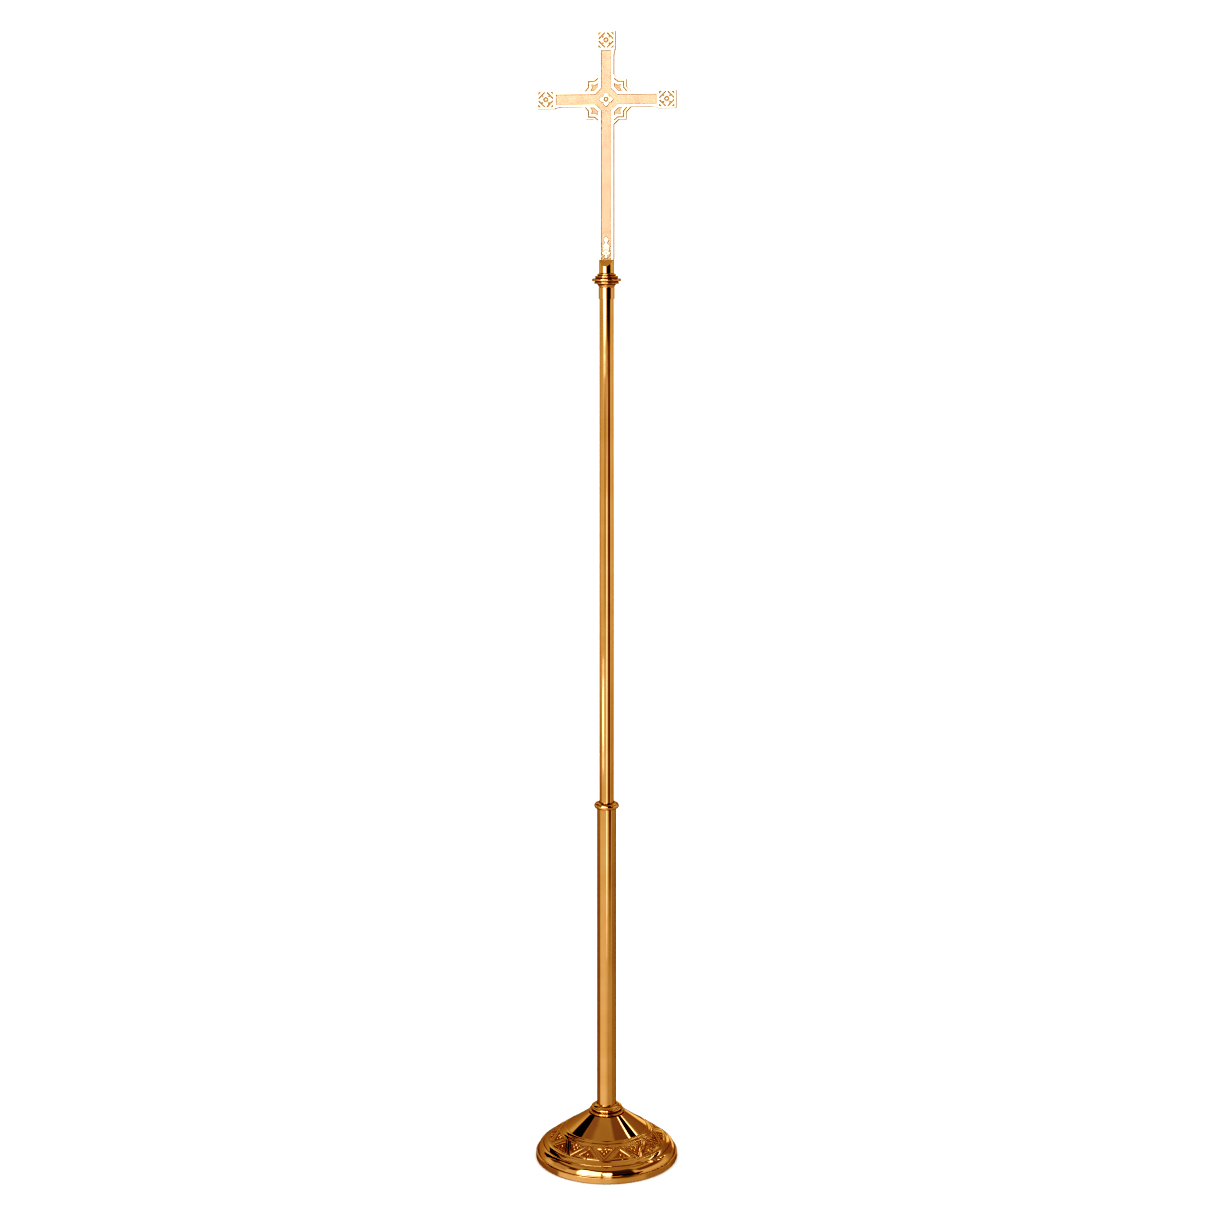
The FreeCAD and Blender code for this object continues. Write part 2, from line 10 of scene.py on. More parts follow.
import bmesh
import bpy
import numpy as np
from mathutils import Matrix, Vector

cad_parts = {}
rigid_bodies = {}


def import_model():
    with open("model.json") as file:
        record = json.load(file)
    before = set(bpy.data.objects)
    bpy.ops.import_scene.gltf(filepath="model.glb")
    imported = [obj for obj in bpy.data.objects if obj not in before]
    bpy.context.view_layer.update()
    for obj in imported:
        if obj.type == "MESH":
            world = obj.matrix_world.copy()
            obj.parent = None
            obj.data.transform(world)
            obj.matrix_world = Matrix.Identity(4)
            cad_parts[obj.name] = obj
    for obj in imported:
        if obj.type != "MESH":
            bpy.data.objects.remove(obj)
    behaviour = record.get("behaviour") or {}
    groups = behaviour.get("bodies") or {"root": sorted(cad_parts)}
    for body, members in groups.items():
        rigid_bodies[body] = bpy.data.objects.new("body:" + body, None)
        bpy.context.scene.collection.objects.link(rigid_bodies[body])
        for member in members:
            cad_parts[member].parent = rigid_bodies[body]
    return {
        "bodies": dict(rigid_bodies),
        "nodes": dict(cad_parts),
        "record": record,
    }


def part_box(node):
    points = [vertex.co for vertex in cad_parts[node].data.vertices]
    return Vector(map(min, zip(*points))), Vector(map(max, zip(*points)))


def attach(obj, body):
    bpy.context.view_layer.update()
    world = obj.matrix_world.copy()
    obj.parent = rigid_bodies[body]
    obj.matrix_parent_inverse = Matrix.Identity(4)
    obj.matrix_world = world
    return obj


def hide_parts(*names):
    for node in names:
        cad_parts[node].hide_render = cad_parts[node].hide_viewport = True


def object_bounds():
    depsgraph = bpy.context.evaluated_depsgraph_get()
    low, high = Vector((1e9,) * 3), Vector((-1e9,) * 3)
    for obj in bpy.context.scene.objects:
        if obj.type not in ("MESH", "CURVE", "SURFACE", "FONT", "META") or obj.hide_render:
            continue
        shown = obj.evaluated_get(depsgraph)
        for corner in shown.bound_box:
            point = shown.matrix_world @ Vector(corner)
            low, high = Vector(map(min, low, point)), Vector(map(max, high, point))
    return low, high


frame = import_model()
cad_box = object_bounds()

MM = 0.001


# ---- places, from the frame ----

def span(node):
    """Outer radius, lowest and highest z of a node turned about Z, in millimetres."""
    low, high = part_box(node)
    return high.x / MM, low.z / MM, high.z / MM


def thickness(node):
    """Extent of a node from front to back, in millimetres."""
    low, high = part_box(node)
    return (high.y - low.y) / MM


# the base
CONE_SLOPE = 0.675  # fall of its upper surface for each millimetre outward
CONE_SEAT = 36.5  # radius at which the cone turns level, under the foot collar
TRIANGLES = 10  # pointing up, with as many between them pointing down
ORNAMENT_PHASE = radians(-83.5)  # to the tip of a triangle that points down

# the cross, in its own plane: x and z from the crossing
BAR_HALF = 15.0
BAR_T = round(thickness("cross_casting"), 2)
PANEL_HALF = 9.8
TERMINAL_HALF = 18.35
ARM_REACH = round(span("cross_casting")[0] - TERMINAL_HALF, 2)  # to the middle of a side terminal
TOP_REACH = 117.4
CROSS_Z = round(span("cross_casting")[2] - TOP_REACH - TERMINAL_HALF, 2)
FOOT_Z = round(span("cross_socket")[2] - CROSS_Z, 2)
SPANDREL_REACH = 49.3
SPANDREL_SHOULDER = 24.6
SPANDREL_CORNER = 40.1
BEVEL_DIP_Z = 1763.6  # where the socket's bevels end at its outside
EDGE_ROUND = 0.9  # of the cross's outer edges
RELIEF_DEPTH = 1.2
RELIEF_WALL = 0.5  # half the width of the slope at a recess's edge
RELIEF_PITCH = 0.4
SIDE_SATIN = 0.8  # of the casting's side walls and tang


# ---- mesh helpers ----

def make_object(name, points, faces, body, material):
    """A smooth mesh object riding a body. Points are in millimetres, faces a list or an array of quads."""
    mesh = bpy.data.meshes.new(name)
    points = np.asarray(points, np.float32) * MM
    counts = np.array([len(face) for face in faces], np.int32)
    corners = np.concatenate([np.asarray(face, np.int32) for face in faces])
    starts = np.concatenate(([0], np.cumsum(counts)[:-1])).astype(np.int32)
    mesh.vertices.add(len(points))
    mesh.vertices.foreach_set("co", points.ravel())
    mesh.loops.add(len(corners))
    mesh.loops.foreach_set("vertex_index", corners)
    mesh.polygons.add(len(counts))
    mesh.polygons.foreach_set("loop_start", starts)
    mesh.polygons.foreach_set("use_smooth", np.ones(len(counts), bool))
    mesh.update(calc_edges=True)
    mesh.validate()
    obj = bpy.data.objects.new(name, mesh)
    bpy.context.scene.collection.objects.link(obj)
    mesh.materials.append(material)
    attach(obj, body)
    return obj


def set_share(obj, name, values):
    """Stores a share from 0 to 1 at each point, for a material to read."""
    attribute = obj.data.attributes.new(name, "FLOAT", "POINT")
    attribute.data.foreach_set("value", np.asarray(values, np.float32))


def ring_faces(rings, segments, closed=True):
    """Quads between rings of points that are stored one after another."""
    ring = np.arange(rings if closed else rings - 1)[:, None]
    step = np.arange(segments)[None, :]
    ahead = (step + 1) % segments
    above = (ring + 1) % rings
    this, other = ring * segments, above * segments
    return np.stack([this + step, this + ahead, other + ahead, other + step], axis=-1).reshape(-1, 4)


def ring_points(radius, z, angles):
    """Points round Z. The radius and z are numbers, or hold a value for each angle."""
    return np.stack([radius * np.cos(angles), radius * np.sin(angles), np.zeros_like(angles) + z], axis=-1)


def arc(start, middle, end, steps):
    """Points after the start of the arc that passes through three (r, z) points."""
    (ax, ay), (bx, by), (cx, cy) = start, middle, end
    d = 2 * (ax * (by - cy) + bx * (cy - ay) + cx * (ay - by))
    a2, b2, c2 = ax * ax + ay * ay, bx * bx + by * by, cx * cx + cy * cy
    ux = (a2 * (by - cy) + b2 * (cy - ay) + c2 * (ay - by)) / d
    uy = (a2 * (cx - bx) + b2 * (ax - cx) + c2 * (bx - ax)) / d
    radius = hypot(ax - ux, ay - uy)
    first = atan2(ay - uy, ax - ux)
    turn_middle = (atan2(by - uy, bx - ux) - first) % tau
    turn_end = (atan2(cy - uy, cx - ux) - first) % tau
    if turn_middle > turn_end:
        turn_end -= tau
    angles = [first + turn_end * k / steps for k in range(1, steps + 1)]
    return [(ux + radius * cos(a), uy + radius * sin(a)) for a in angles]


def profile(outline, steps=12):
    """A closed outline as (r, z) points. An arc to a point is written ((mid r, mid z), (r, z))."""
    points = [outline[0]]
    for step in outline[1:]:
        if isinstance(step[0], tuple):
            points += arc(points[-1], step[0], step[1], steps)
        else:
            points.append(step)
    return points


def eased(points, ease):
    """Rounds the sharp corners of a closed outline, and keeps its straight runs straight."""
    sharp_turn = radians(20)
    most_of_a_side = 0.45
    long_run, guard = 1.2, 0.25  # a long run gets a point near each end, which keeps its shading flat
    rounded = []
    for i, point in enumerate(points):
        here = Vector(point)
        back = Vector(points[i - 1]) - here
        ahead = Vector(points[(i + 1) % len(points)]) - here
        if pi - back.angle(ahead) < sharp_turn:
            rounded.append(here)
            continue
        reach = min(ease, back.length * most_of_a_side, ahead.length * most_of_a_side)
        start = here + back.normalized() * reach
        end = here + ahead.normalized() * reach
        for k in range(5):
            t = k / 4
            rounded.append(start * (1 - t) ** 2 + here * 2 * t * (1 - t) + end * t * t)
    kept = []
    for i, here in enumerate(rounded):
        ahead = rounded[(i + 1) % len(rounded)] - here
        kept.append(here)
        if ahead.length > long_run:
            kept.append(here + ahead.normalized() * guard)
            kept.append(here + ahead.normalized() * (ahead.length - guard))
    return kept


def turned(name, outline, body, segments=160, ease=0.35, slot="polished_brass"):
    """A closed outline of (r, z) points turned about Z. A point with r 0 lies on the axis."""
    angles = [tau * k / segments for k in range(segments)]
    rings, vertices = [], []
    for r, z in eased(profile(outline), ease):
        first = len(vertices)
        if r < 1e-6:
            rings.append([first] * segments)
            vertices.append((0, 0, z))
        else:
            rings.append(list(range(first, first + segments)))
            vertices += [(r * cos(a), r * sin(a), z) for a in angles]
    faces = []
    for ring, above in zip(rings, rings[1:] + rings[:1]):
        for k in range(segments):
            n = (k + 1) % segments
            corners = [ring[k], ring[n], above[n], above[k]]
            face = [c for i, c in enumerate(corners) if c != corners[i - 1]]
            if len(face) > 2:
                faces.append(face)
    obj = make_object(name + "_turned", vertices, faces, body, MATERIALS[slot])
    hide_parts(name)
    return obj


# ---- relief helpers ----

def nearest_on(points, outline):
    """For each 2-D point: its distance to a closed outline, negative inside, and the nearest point."""
    x, z = points[:, 0], points[:, 1]
    best = np.full(len(x), np.inf)
    place = np.zeros((len(x), 2))
    inside = np.zeros(len(x), bool)
    for (ax, az), (bx, bz) in zip(outline, outline[1:] + outline[:1]):
        ex, ez = bx - ax, bz - az
        t = np.clip(((x - ax) * ex + (z - az) * ez) / (ex * ex + ez * ez), 0, 1)
        px, pz = ax + t * ex, az + t * ez
        distance = np.hypot(x - px, z - pz)
        closer = distance < best
        best[closer] = distance[closer]
        place[closer, 0] = px[closer]
        place[closer, 1] = pz[closer]
        if ez:
            inside ^= ((az > z) != (bz > z)) & (x < ax + (z - az) / ez * ex)
    return np.where(inside, -best, best), place


def distance_to(x, z, outline):
    """Distance to a closed outline, negative inside."""
    return nearest_on(np.stack([x, z], axis=-1), outline)[0]


def ease_step(t):
    """A smooth step from 0 to 1."""
    t = np.clip(t, 0, 1)
    return t * t * (3 - 2 * t)


def scatter(i, k, salt):
    """A repeatable number from -1 to 1 for each whole-numbered cell."""
    mixed = (i * 73856093) ^ (k * 19349663) ^ (salt * 83492791)
    mixed = (mixed ^ (mixed >> 13)) * 1274126177
    return ((mixed >> 8) & 0xFFFF) / 32767.5 - 1.0


def stipple(x, z, cell):
    """A punched ground: 0 in the middle of each pit, towards 1 between pits."""
    jitter, pit_r = 0.36, 0.75  # as shares of a cell
    i = np.floor(x / cell).astype(np.int64)
    k = np.floor(z / cell).astype(np.int64)
    best = np.full(np.shape(x), np.inf)
    for di in (-1, 0, 1):
        for dk in (-1, 0, 1):
            ci, ck = i + di, k + dk
            px = (ci + 0.5 + jitter * scatter(ci, ck, 1)) * cell
            pz = (ck + 0.5 + jitter * scatter(ci, ck, 2)) * cell
            best = np.minimum(best, np.hypot(x - px, z - pz))
    return np.clip(best / (pit_r * cell), 0, 1)


# ---- materials ----

class Nodes:
    """A short way to write a node tree."""

    def __init__(self, tree):
        self.tree = tree
        tree.nodes.clear()

    def feed(self, socket, value):
        """Links another node's output to a socket, or sets it to a plain value."""
        if isinstance(value, bpy.types.NodeSocket):
            self.tree.links.new(value, socket)
        else:
            socket.default_value = value

    def add(self, kind, inputs=None, **settings):
        node = self.tree.nodes.new(kind)
        for key, value in settings.items():
            setattr(node, key, value)
        for key, value in (inputs or {}).items():
            self.feed(node.inputs[key], value)
        return node

    def math(self, operation, *values):
        node = self.add("ShaderNodeMath", operation=operation)
        for i, value in enumerate(values):
            self.feed(node.inputs[i], value)
        return node.outputs[0]

    def smooth(self, value, low, high, to_low=0.0, to_high=1.0):
        """A smooth step from one value to another."""
        limits = {"Value": value, "From Min": low, "From Max": high, "To Min": to_low, "To Max": to_high}
        node = self.add("ShaderNodeMapRange", limits, interpolation_type="SMOOTHSTEP")
        return node.outputs["Result"]

    def mix(self, share, first, second):
        """Mixes two plain values."""
        node = self.add("ShaderNodeMix", {"Factor": share})
        self.feed(node.inputs[2], first)
        self.feed(node.inputs[3], second)
        return node.outputs[0]

    def mix_colour(self, share, first, second):
        node = self.add("ShaderNodeMix", data_type="RGBA")
        for key, value in (("Factor", share), ("A", first), ("B", second)):
            self.feed([s for s in node.inputs if s.name == key and s.enabled][0], value)
        return [s for s in node.outputs if s.enabled][0]

    def noise(self, scale, detail=3.0, roughness=0.5, vector=None):
        inputs = {"Scale": scale, "Detail": detail, "Roughness": roughness}
        inputs["Vector"] = vector or self.object_place()
        return self.add("ShaderNodeTexNoise", inputs).outputs["Fac"]

    def object_place(self):
        return self.add("ShaderNodeTexCoord").outputs["Object"]

    def bump(self, height, distance, strength=1.0, below=None):
        inputs = {"Height": height, "Distance": distance, "Strength": strength}
        if below is not None:
            inputs["Normal"] = below
        return self.add("ShaderNodeBump", inputs).outputs["Normal"]

    def surface(self, inputs):
        shader = self.add("ShaderNodeBsdfPrincipled", inputs)
        out = self.add("ShaderNodeOutputMaterial")
        self.feed(out.inputs["Surface"], shader.outputs[0])


def new_material(name):
    material = bpy.data.materials.new(name)
    material.use_nodes = True
    return material, Nodes(material.node_tree)


def turning_lines(nodes):
    """Fine rings left by the lathe: noise that varies with radius and height only."""
    parts = nodes.add("ShaderNodeSeparateXYZ", {"Vector": nodes.object_place()})
    x, y, z = parts.outputs
    squares = nodes.math("ADD", nodes.math("MULTIPLY", x, x), nodes.math("MULTIPLY", y, y))
    radius = nodes.math("SQRT", squares)
    place = nodes.add("ShaderNodeCombineXYZ", {"X": radius, "Y": 0.0, "Z": z}).outputs[0]
    return nodes.noise(2600.0, 2.0, 0.6, place)


# tones of the brass: the turned and spun parts and the band first, then the paler gilt cross
BRASS = (1.0, 0.61, 0.335, 1)
BRASS_DEEP = (0.96, 0.575, 0.305, 1)
BRASS_TARNISH = (0.55, 0.31, 0.14, 1)
BRASS_IN_METAL = (0.62, 0.56, 0.50, 1)
BRASS_EDGE = (0.80, 0.64, 0.46, 1)  # reflection at a glancing angle
BAND_GROUND = (0.66, 0.37, 0.18, 1)
GILT_HIGH = (1.0, 0.745, 0.53, 1)
GILT_DEEP = (0.97, 0.70, 0.48, 1)
GILT_GROUND = (0.63, 0.445, 0.31, 1)
# painted shade: the darker tone that the cross's shade share mixes into its recesses and along their edges
GILT_PAINTED_SHADE = (0.455, 0.295, 0.20, 1)


def seen_in_metal(nodes, tone):
    """Brass that is seen by way of brass is browner, not redder, so creases stay clean."""
    again = nodes.add("ShaderNodeLightPath").outputs["Is Glossy Ray"]
    return nodes.mix_colour(again, tone, BRASS_IN_METAL)


def polished_brass():
    """Turned, buffed and lacquered brass: faint lathe rings, finger smudges, deeper tone in creases."""
    material, nodes = new_material("polished_brass")
    clouds = nodes.noise(22.0, 4.0)
    tone = nodes.mix_colour(nodes.smooth(clouds, 0.35, 0.68), BRASS, BRASS_DEEP)
    crease = nodes.add("ShaderNodeNewGeometry").outputs["Pointiness"]
    tone = nodes.mix_colour(nodes.smooth(crease, 0.44, 0.34), tone, BRASS_TARNISH)
    tone = seen_in_metal(nodes, tone)
    smudges = nodes.noise(75.0, 5.0, 0.65)
    rough = nodes.smooth(smudges, 0.45, 0.85, 0.02, 0.09)
    wave = nodes.bump(nodes.noise(9.0, 2.0), 0.0008, 0.5)
    rings = nodes.bump(turning_lines(nodes), 0.00001, 0.5, wave)
    nodes.surface({
        "Base Color": tone, "Metallic": 1.0, "Roughness": rough, "Normal": rings,
        "Specular Tint": BRASS_EDGE, "Coat Weight": 0.1, "Coat Roughness": 0.03,
    })
    return material


def cast_brass(name="cast_brass", high=BRASS, deep=BRASS_DEEP, ground=BAND_GROUND, shade=BAND_GROUND):
    """Cast and chased brass: satin floors, rubbed high edges and darker polish left in the creases, and
    painted shade where a shade share is stored.
    """
    material, nodes = new_material(name)
    clouds = nodes.noise(30.0, 4.0)
    tone = nodes.mix_colour(nodes.smooth(clouds, 0.35, 0.68), high, deep)
    edge = nodes.add("ShaderNodeNewGeometry").outputs["Pointiness"]
    tone = nodes.mix_colour(nodes.smooth(edge, 0.47, 0.38), tone, BRASS_TARNISH)
    floor_share = nodes.add("ShaderNodeAttribute", attribute_name="satin").outputs["Fac"]
    # painted shade: the stored shade share turns the satin tone from the ground tone towards the darker shade
    # tone
    painted_shade_share = nodes.add("ShaderNodeAttribute", attribute_name="shade").outputs["Fac"]
    tone = nodes.mix_colour(floor_share, tone, nodes.mix_colour(painted_shade_share, ground, shade))
    tone = seen_in_metal(nodes, tone)
    polished = nodes.smooth(nodes.noise(90.0, 4.0), 0.4, 0.8, 0.04, 0.12)
    satin = nodes.smooth(nodes.noise(60.0, 4.0), 0.35, 0.75, 0.36, 0.46)
    rough = nodes.mix(floor_share, polished, satin)
    grain = nodes.noise(1500.0, 2.0, 0.6)
    grain_height = nodes.math("MULTIPLY", grain, nodes.math("ADD", floor_share, 0.04))
    normal = nodes.bump(grain_height, 0.0001, 0.5, nodes.bump(nodes.noise(14.0, 2.0), 0.0006, 0.4))
    nodes.surface({
        "Base Color": tone, "Metallic": 1.0, "Roughness": rough, "Normal": normal,
        "Specular Tint": BRASS_EDGE, "Coat Weight": 0.1, "Coat Roughness": 0.05,
    })
    return material


def turned_brass():
    """Bare machined brass: plain tool marks, no lacquer."""
    material, nodes = new_material("turned_brass")
    clouds = nodes.noise(60.0, 3.0)
    tone = nodes.mix_colour(clouds, (0.93, 0.60, 0.30, 1), (0.80, 0.46, 0.18, 1))
    rough = nodes.smooth(nodes.noise(200.0, 3.0), 0.3, 0.8, 0.18, 0.34)
    normal = nodes.bump(turning_lines(nodes), 0.00006, 0.7)
    nodes.surface({"Base Color": tone, "Metallic": 1.0, "Roughness": rough, "Normal": normal})
    return material


def zinc_steel():
    """Zinc-plated steel: pale grey, faintly mottled."""
    material, nodes = new_material("zinc_steel")
    spots = nodes.add("ShaderNodeTexVoronoi", {"Scale": 240.0, "Vector": nodes.object_place()})
    spread = nodes.smooth(spots.outputs["Distance"], 0.1, 0.9)
    tone = nodes.mix_colour(spread, (0.62, 0.63, 0.64, 1), (0.46, 0.47, 0.49, 1))
    rough = nodes.smooth(nodes.noise(120.0), 0.3, 0.8, 0.25, 0.45)
    normal = nodes.bump(nodes.noise(700.0), 0.00004, 0.5)
    nodes.surface({"Base Color": tone, "Metallic": 1.0, "Roughness": rough, "Normal": normal})
    return material


def cast_iron():
    """Rough grey cast iron with a thin black wash."""
    material, nodes = new_material("cast_iron")
    tone = nodes.mix_colour(nodes.noise(80.0, 6.0), (0.07, 0.07, 0.075, 1), (0.16, 0.15, 0.14, 1))
    rough = nodes.smooth(nodes.noise(300.0), 0.3, 0.8, 0.55, 0.85)
    normal = nodes.bump(nodes.noise(420.0, 6.0, 0.7), 0.0005, 0.8)
    nodes.surface({"Base Color": tone, "Metallic": 0.6, "Roughness": rough, "Normal": normal})
    return material


def rubber():
    """Dull black rubber with a dusty bloom."""
    material, nodes = new_material("rubber")
    tone = nodes.mix_colour(nodes.noise(130.0, 5.0), (0.055, 0.052, 0.05, 1), (0.12, 0.115, 0.11, 1))
    rough = nodes.smooth(nodes.noise(240.0), 0.3, 0.8, 0.6, 0.85)
    normal = nodes.bump(nodes.noise(900.0, 3.0), 0.00012, 0.6)
    nodes.surface({"Base Color": tone, "Roughness": rough, "Normal": normal, "Sheen Weight": 0.15})
    return material


def nylon():
    """Off-white nylon, slightly waxy."""
    material, nodes = new_material("nylon")
    tone = nodes.mix_colour(nodes.noise(50.0, 3.0), (0.80, 0.78, 0.70, 1), (0.70, 0.67, 0.58, 1))
    rough = nodes.smooth(nodes.noise(180.0), 0.3, 0.8, 0.35, 0.5)
    normal = nodes.bump(turning_lines(nodes), 0.00003, 0.5)
    nodes.surface({
        "Base Color": tone, "Roughness": rough, "Normal": normal,
        "Subsurface Weight": 0.15, "Subsurface Radius": (0.002, 0.0018, 0.0012),
    })
    return material


def felt():
    """Dark green pressed wool felt: matted fibres and a soft nap."""
    material, nodes = new_material("felt")
    fibres = nodes.noise(1400.0, 6.0, 0.75)
    tone = nodes.mix_colour(fibres, (0.035, 0.085, 0.055, 1), (0.10, 0.19, 0.13, 1))
    matted = nodes.noise(180.0, 4.0, 0.6)
    normal = nodes.bump(fibres, 0.0006, 0.9, nodes.bump(matted, 0.0008, 0.5))
    nodes.surface({
        "Base Color": tone, "Roughness": 0.95, "Normal": normal,
        "Sheen Weight": 0.6, "Sheen Roughness": 0.5,
    })
    return material


MATERIALS = {
    make.__name__: make()
    for make in (polished_brass, cast_brass, turned_brass, zinc_steel, cast_iron, rubber, nylon, felt)
}
MATERIALS["gilt_cast_brass"] = cast_brass("gilt_cast_brass", GILT_HIGH, GILT_DEEP, GILT_GROUND, GILT_PAINTED_SHADE)


# ---- base ----

def slope_z(r):
    """Height of the base's straight upper surface at a radius."""
    return span("base_cone")[2] + CONE_SEAT * CONE_SLOPE - r * CONE_SLOPE


def sleeve_bore():
    """Radius of a hole that the sleeve's tube fills."""
    return span("sleeve_tube")[0] + 0.05


def base_rim():
    r, low, high = span("base_rim")
    outline = [
        (r - 6.0, low),
        (r - 1.4, low),
        ((r - 0.41, low + 0.41), (r, low + 1.4)),
        (r - 0.3, low + 10.4),
        (r - 1.0, low + 11.1),
        (r - 3.6, low + 11.5),
        (r - 3.8, low + 12.2),
        ((r - 7.0, low + 20.9), (r - 14.2, low + 26.7)),
        ((r - 14.9, low + 26.8), (r - 15.2, low + 26.1)),
        (r - 15.2, high - 0.8),
        (r - 13.5, high - 0.8),
        (r - 13.5, low + 3.1),
        (r - 6.0, low + 3.1),
    ]
    turned("base_rim", outline, "stand", 360)


def base_cone():
    r, low, high = span("base_cone")
    bore = sleeve_bore()
    outline = [
        (r - 2.6, low),
        (r, low),
        (r, slope_z(r) - 0.2),
        (CONE_SEAT, high),
        (bore, high),
        (bore, high - 1.9),
        (CONE_SEAT - 1.2, high - 1.9),
    ]
    turned("base_cone", outline, "stand", 300)


def foot_collar():
    _, low, high = span("foot_collar")
    bore = sleeve_bore()
    outline = [
        (bore, low),
        (33.4, low),
        ((35.0, low + 2.3), (33.0, low + 4.6)),
        (28.4, low + 5.2),
        ((30.8, low + 8.4), (28.4, low + 11.6)),
        (27.2, low + 11.9),
        ((24.2, low + 14.4), (20.6, low + 15.8)),
        (20.2, high),
        (bore, high),
    ]
    turned("foot_collar", outline, "stand", 240)


def disc_outline(r, low, high, bulge):
    """A solid disc with a rounded edge."""
    return [(0, low), (r - 1.2, low), ((r - 1.2 + bulge, (low + high) / 2), (r - 1.2, high)), (0, high)]


def base_felt():
    """The felt disc, with a slightly squashed edge."""
    outline = disc_outline(*span("base_felt"), 1.0)
    turned("base_felt", outline, "stand", 240, 0.2, "felt")


# ---- sleeve and staff ----

def tube_outline(r_in, r_out, low, high):
    return [(r_in, low), (r_out, low), (r_out, high), (r_in, high)]


def sleeve_tube():
    r, low, high = span("sleeve_tube")
    outline = tube_outline(r - 1.5, r, low, high)
    turned("sleeve_tube", outline, "stand", 192)


def sleeve_collar():
    r, low, high = span("sleeve_collar")
    middle = (low + high) / 2
    bore = span("staff_tube")[0] + 0.07
    step_r = sleeve_bore()
    step_z = span("sleeve_tube")[2] + 0.05
    outline = [
        (step_r, low),
        (20.0, low),
        ((r, middle), (19.6, high - 0.6)),
        (17.6, high),
        (bore, high),
        (bore, step_z),
        (step_r, step_z),
    ]
    turned("sleeve_collar", outline, "stand", 192)


def staff_tube():
    r, low, high = span("staff_tube")
    outline = tube_outline(r - 1.65, r, low, high)
    turned("staff_tube", outline, "staff", 160)


def staff_rest_pad():
    """The rubber disc that the staff stands on, with a rounded edge."""
    outline = disc_outline(*span("staff_rest_pad"), 1.2)
    turned("staff_rest_pad", outline, "stand", 128, 0.2, "rubber")


def staff_foot_cushion():
    """The rubber button on the staff's foot, with a recess for the head of its screw."""
    r, low, high = span("staff_foot_cushion")
    bore, recess_r, recess_z = 3.05, 5.6, low + 3.0
    outline = [
        (bore, recess_z),
        (recess_r, recess_z),
        (recess_r, low + 0.5),
        (recess_r + 0.5, low),
        (r - 2.6, low),
        ((r - 0.7, low + 0.9), (r, low + 3.0)),
        (r - 0.1, high - 0.8),
        (r - 0.8, high),
        (bore, high),
    ]
    turned("staff_foot_cushion", outline, "staff", 128, 0.25, "rubber")


def knop_washer():
    r, low, high = span("knop_washer")
    bore = span("cross_stud")[0] + 0.07
    outline = [(bore, low), (r - 0.25, low), ((r, (low + high) / 2), (r - 0.25, high)), (bore, high)]
    turned("knop_washer", outline, "knop", 128, 0.1, "nylon")


def staff_ferrule():
    r, low, high = span("staff_ferrule")
    staff_r = span("staff_tube")[0] + 0.05
    seat = span("staff_tube")[2] + 0.05
    stud_r = span("cross_stud")[0] + 0.07
    outline = [(staff_r, low), (r, low), (r, high), (stud_r, high), (stud_r, seat), (staff_r, seat)]
    turned("staff_ferrule", outline, "staff", 160)


def crowned_ring(root, r, low, high, root_above):
    """A ring on a turned piece: its nearly upright face is lightly crowned and leans back."""
    height = high - low
    return [
        (root, low),
        (r - 0.28 * height, low + 0.05 * height),
        ((r - 0.08 * height, low + 0.17 * height), (r - 0.01 * height, low + 0.36 * height)),
        ((r, low + 0.48 * height), (r - 0.05 * height, low + 0.68 * height)),
        ((r - 0.15 * height, low + 0.86 * height), (r - 0.34 * height, low + 0.96 * height)),
        (root_above, high),
    ]


def knop():
    r, low, high = span("knop")
    bore = span("cross_stud")[0] + 0.05
    foot_r = span("staff_ferrule")[0]
    top_r = span("cross_socket")[0] + 0.4
    outline = [(bore, low), (foot_r, low), ((17.8, low + 4.2), (21.6, low + 6.2))]
    outline += crowned_ring(21.8, 25.0, low + 6.3, low + 10.2, 23.0)
    outline += crowned_ring(24.0, r, low + 11.2, low + 17.4, 23.6)
    outline += crowned_ring(21.4, 23.4, low + 18.3, low + 22.4, 20.0)
    outline += crowned_ring(17.4, 18.9, low + 22.9, low + 26.3, 17.0)
    outline += [(top_r, high), (bore, high)]
    turned("knop", outline, "knop", 200, 0.3)


BAND_OUT, BAND_IN = 115.7, 89.0  # radii of the band's field of triangles
BAND_FLOOR, BAND_STRIP, BAND_CREST = -1.5, -0.5, 1.1  # above the slope: sunk, between triangles, on ribs
BAND_ROW = 0.48  # from one ring of points to the next in the field
BAND_ANGLES = tau * np.arange(1440) / 1440
BAND_PITCH = tau / TRIANGLES
RIB_HALF = 2.2
GAP_HALF = 2.2  # of the opening in each triangle's foot, where the rib's ends turn inward


def triangle(points_up):
    """A triangle as radius and length along the arc, with its foot along one edge of the field."""
    outer, inner = BAND_OUT - 1.2, BAND_IN + 1.2
    foot, tip, share = (outer, inner, 0.80) if points_up else (inner, outer, 0.86)
    half = foot * share * BAND_PITCH / 2
    return [(foot, half), (tip, 0), (foot, -half)]


def rib_distance(y, inside, from_foot):
    """Distance to the middle line of a triangle's rib, with its two inturned ends and its bead."""
    stub_end, bead_place, far = 6.5, 10.5, 9.0
    stub_slimmer, bead_slimmer = 1.2, 1.1
    beside_gap = np.abs(y) - GAP_HALF
    rib = np.abs(inside - RIB_HALF)
    open_foot = (beside_gap < 0) & (from_foot < 2.5 * RIB_HALF)
    rib = np.where(open_foot, np.hypot(beside_gap, rib), rib)
    stub = np.hypot(beside_gap - RIB_HALF, np.clip(from_foot - stub_end, 0, None))
    stub = np.where((from_foot > RIB_HALF) & (inside > 0), stub * stub_slimmer, far)
    bead = np.hypot(y, from_foot - bead_place) * bead_slimmer
    return np.minimum(rib, np.minimum(stub, bead))


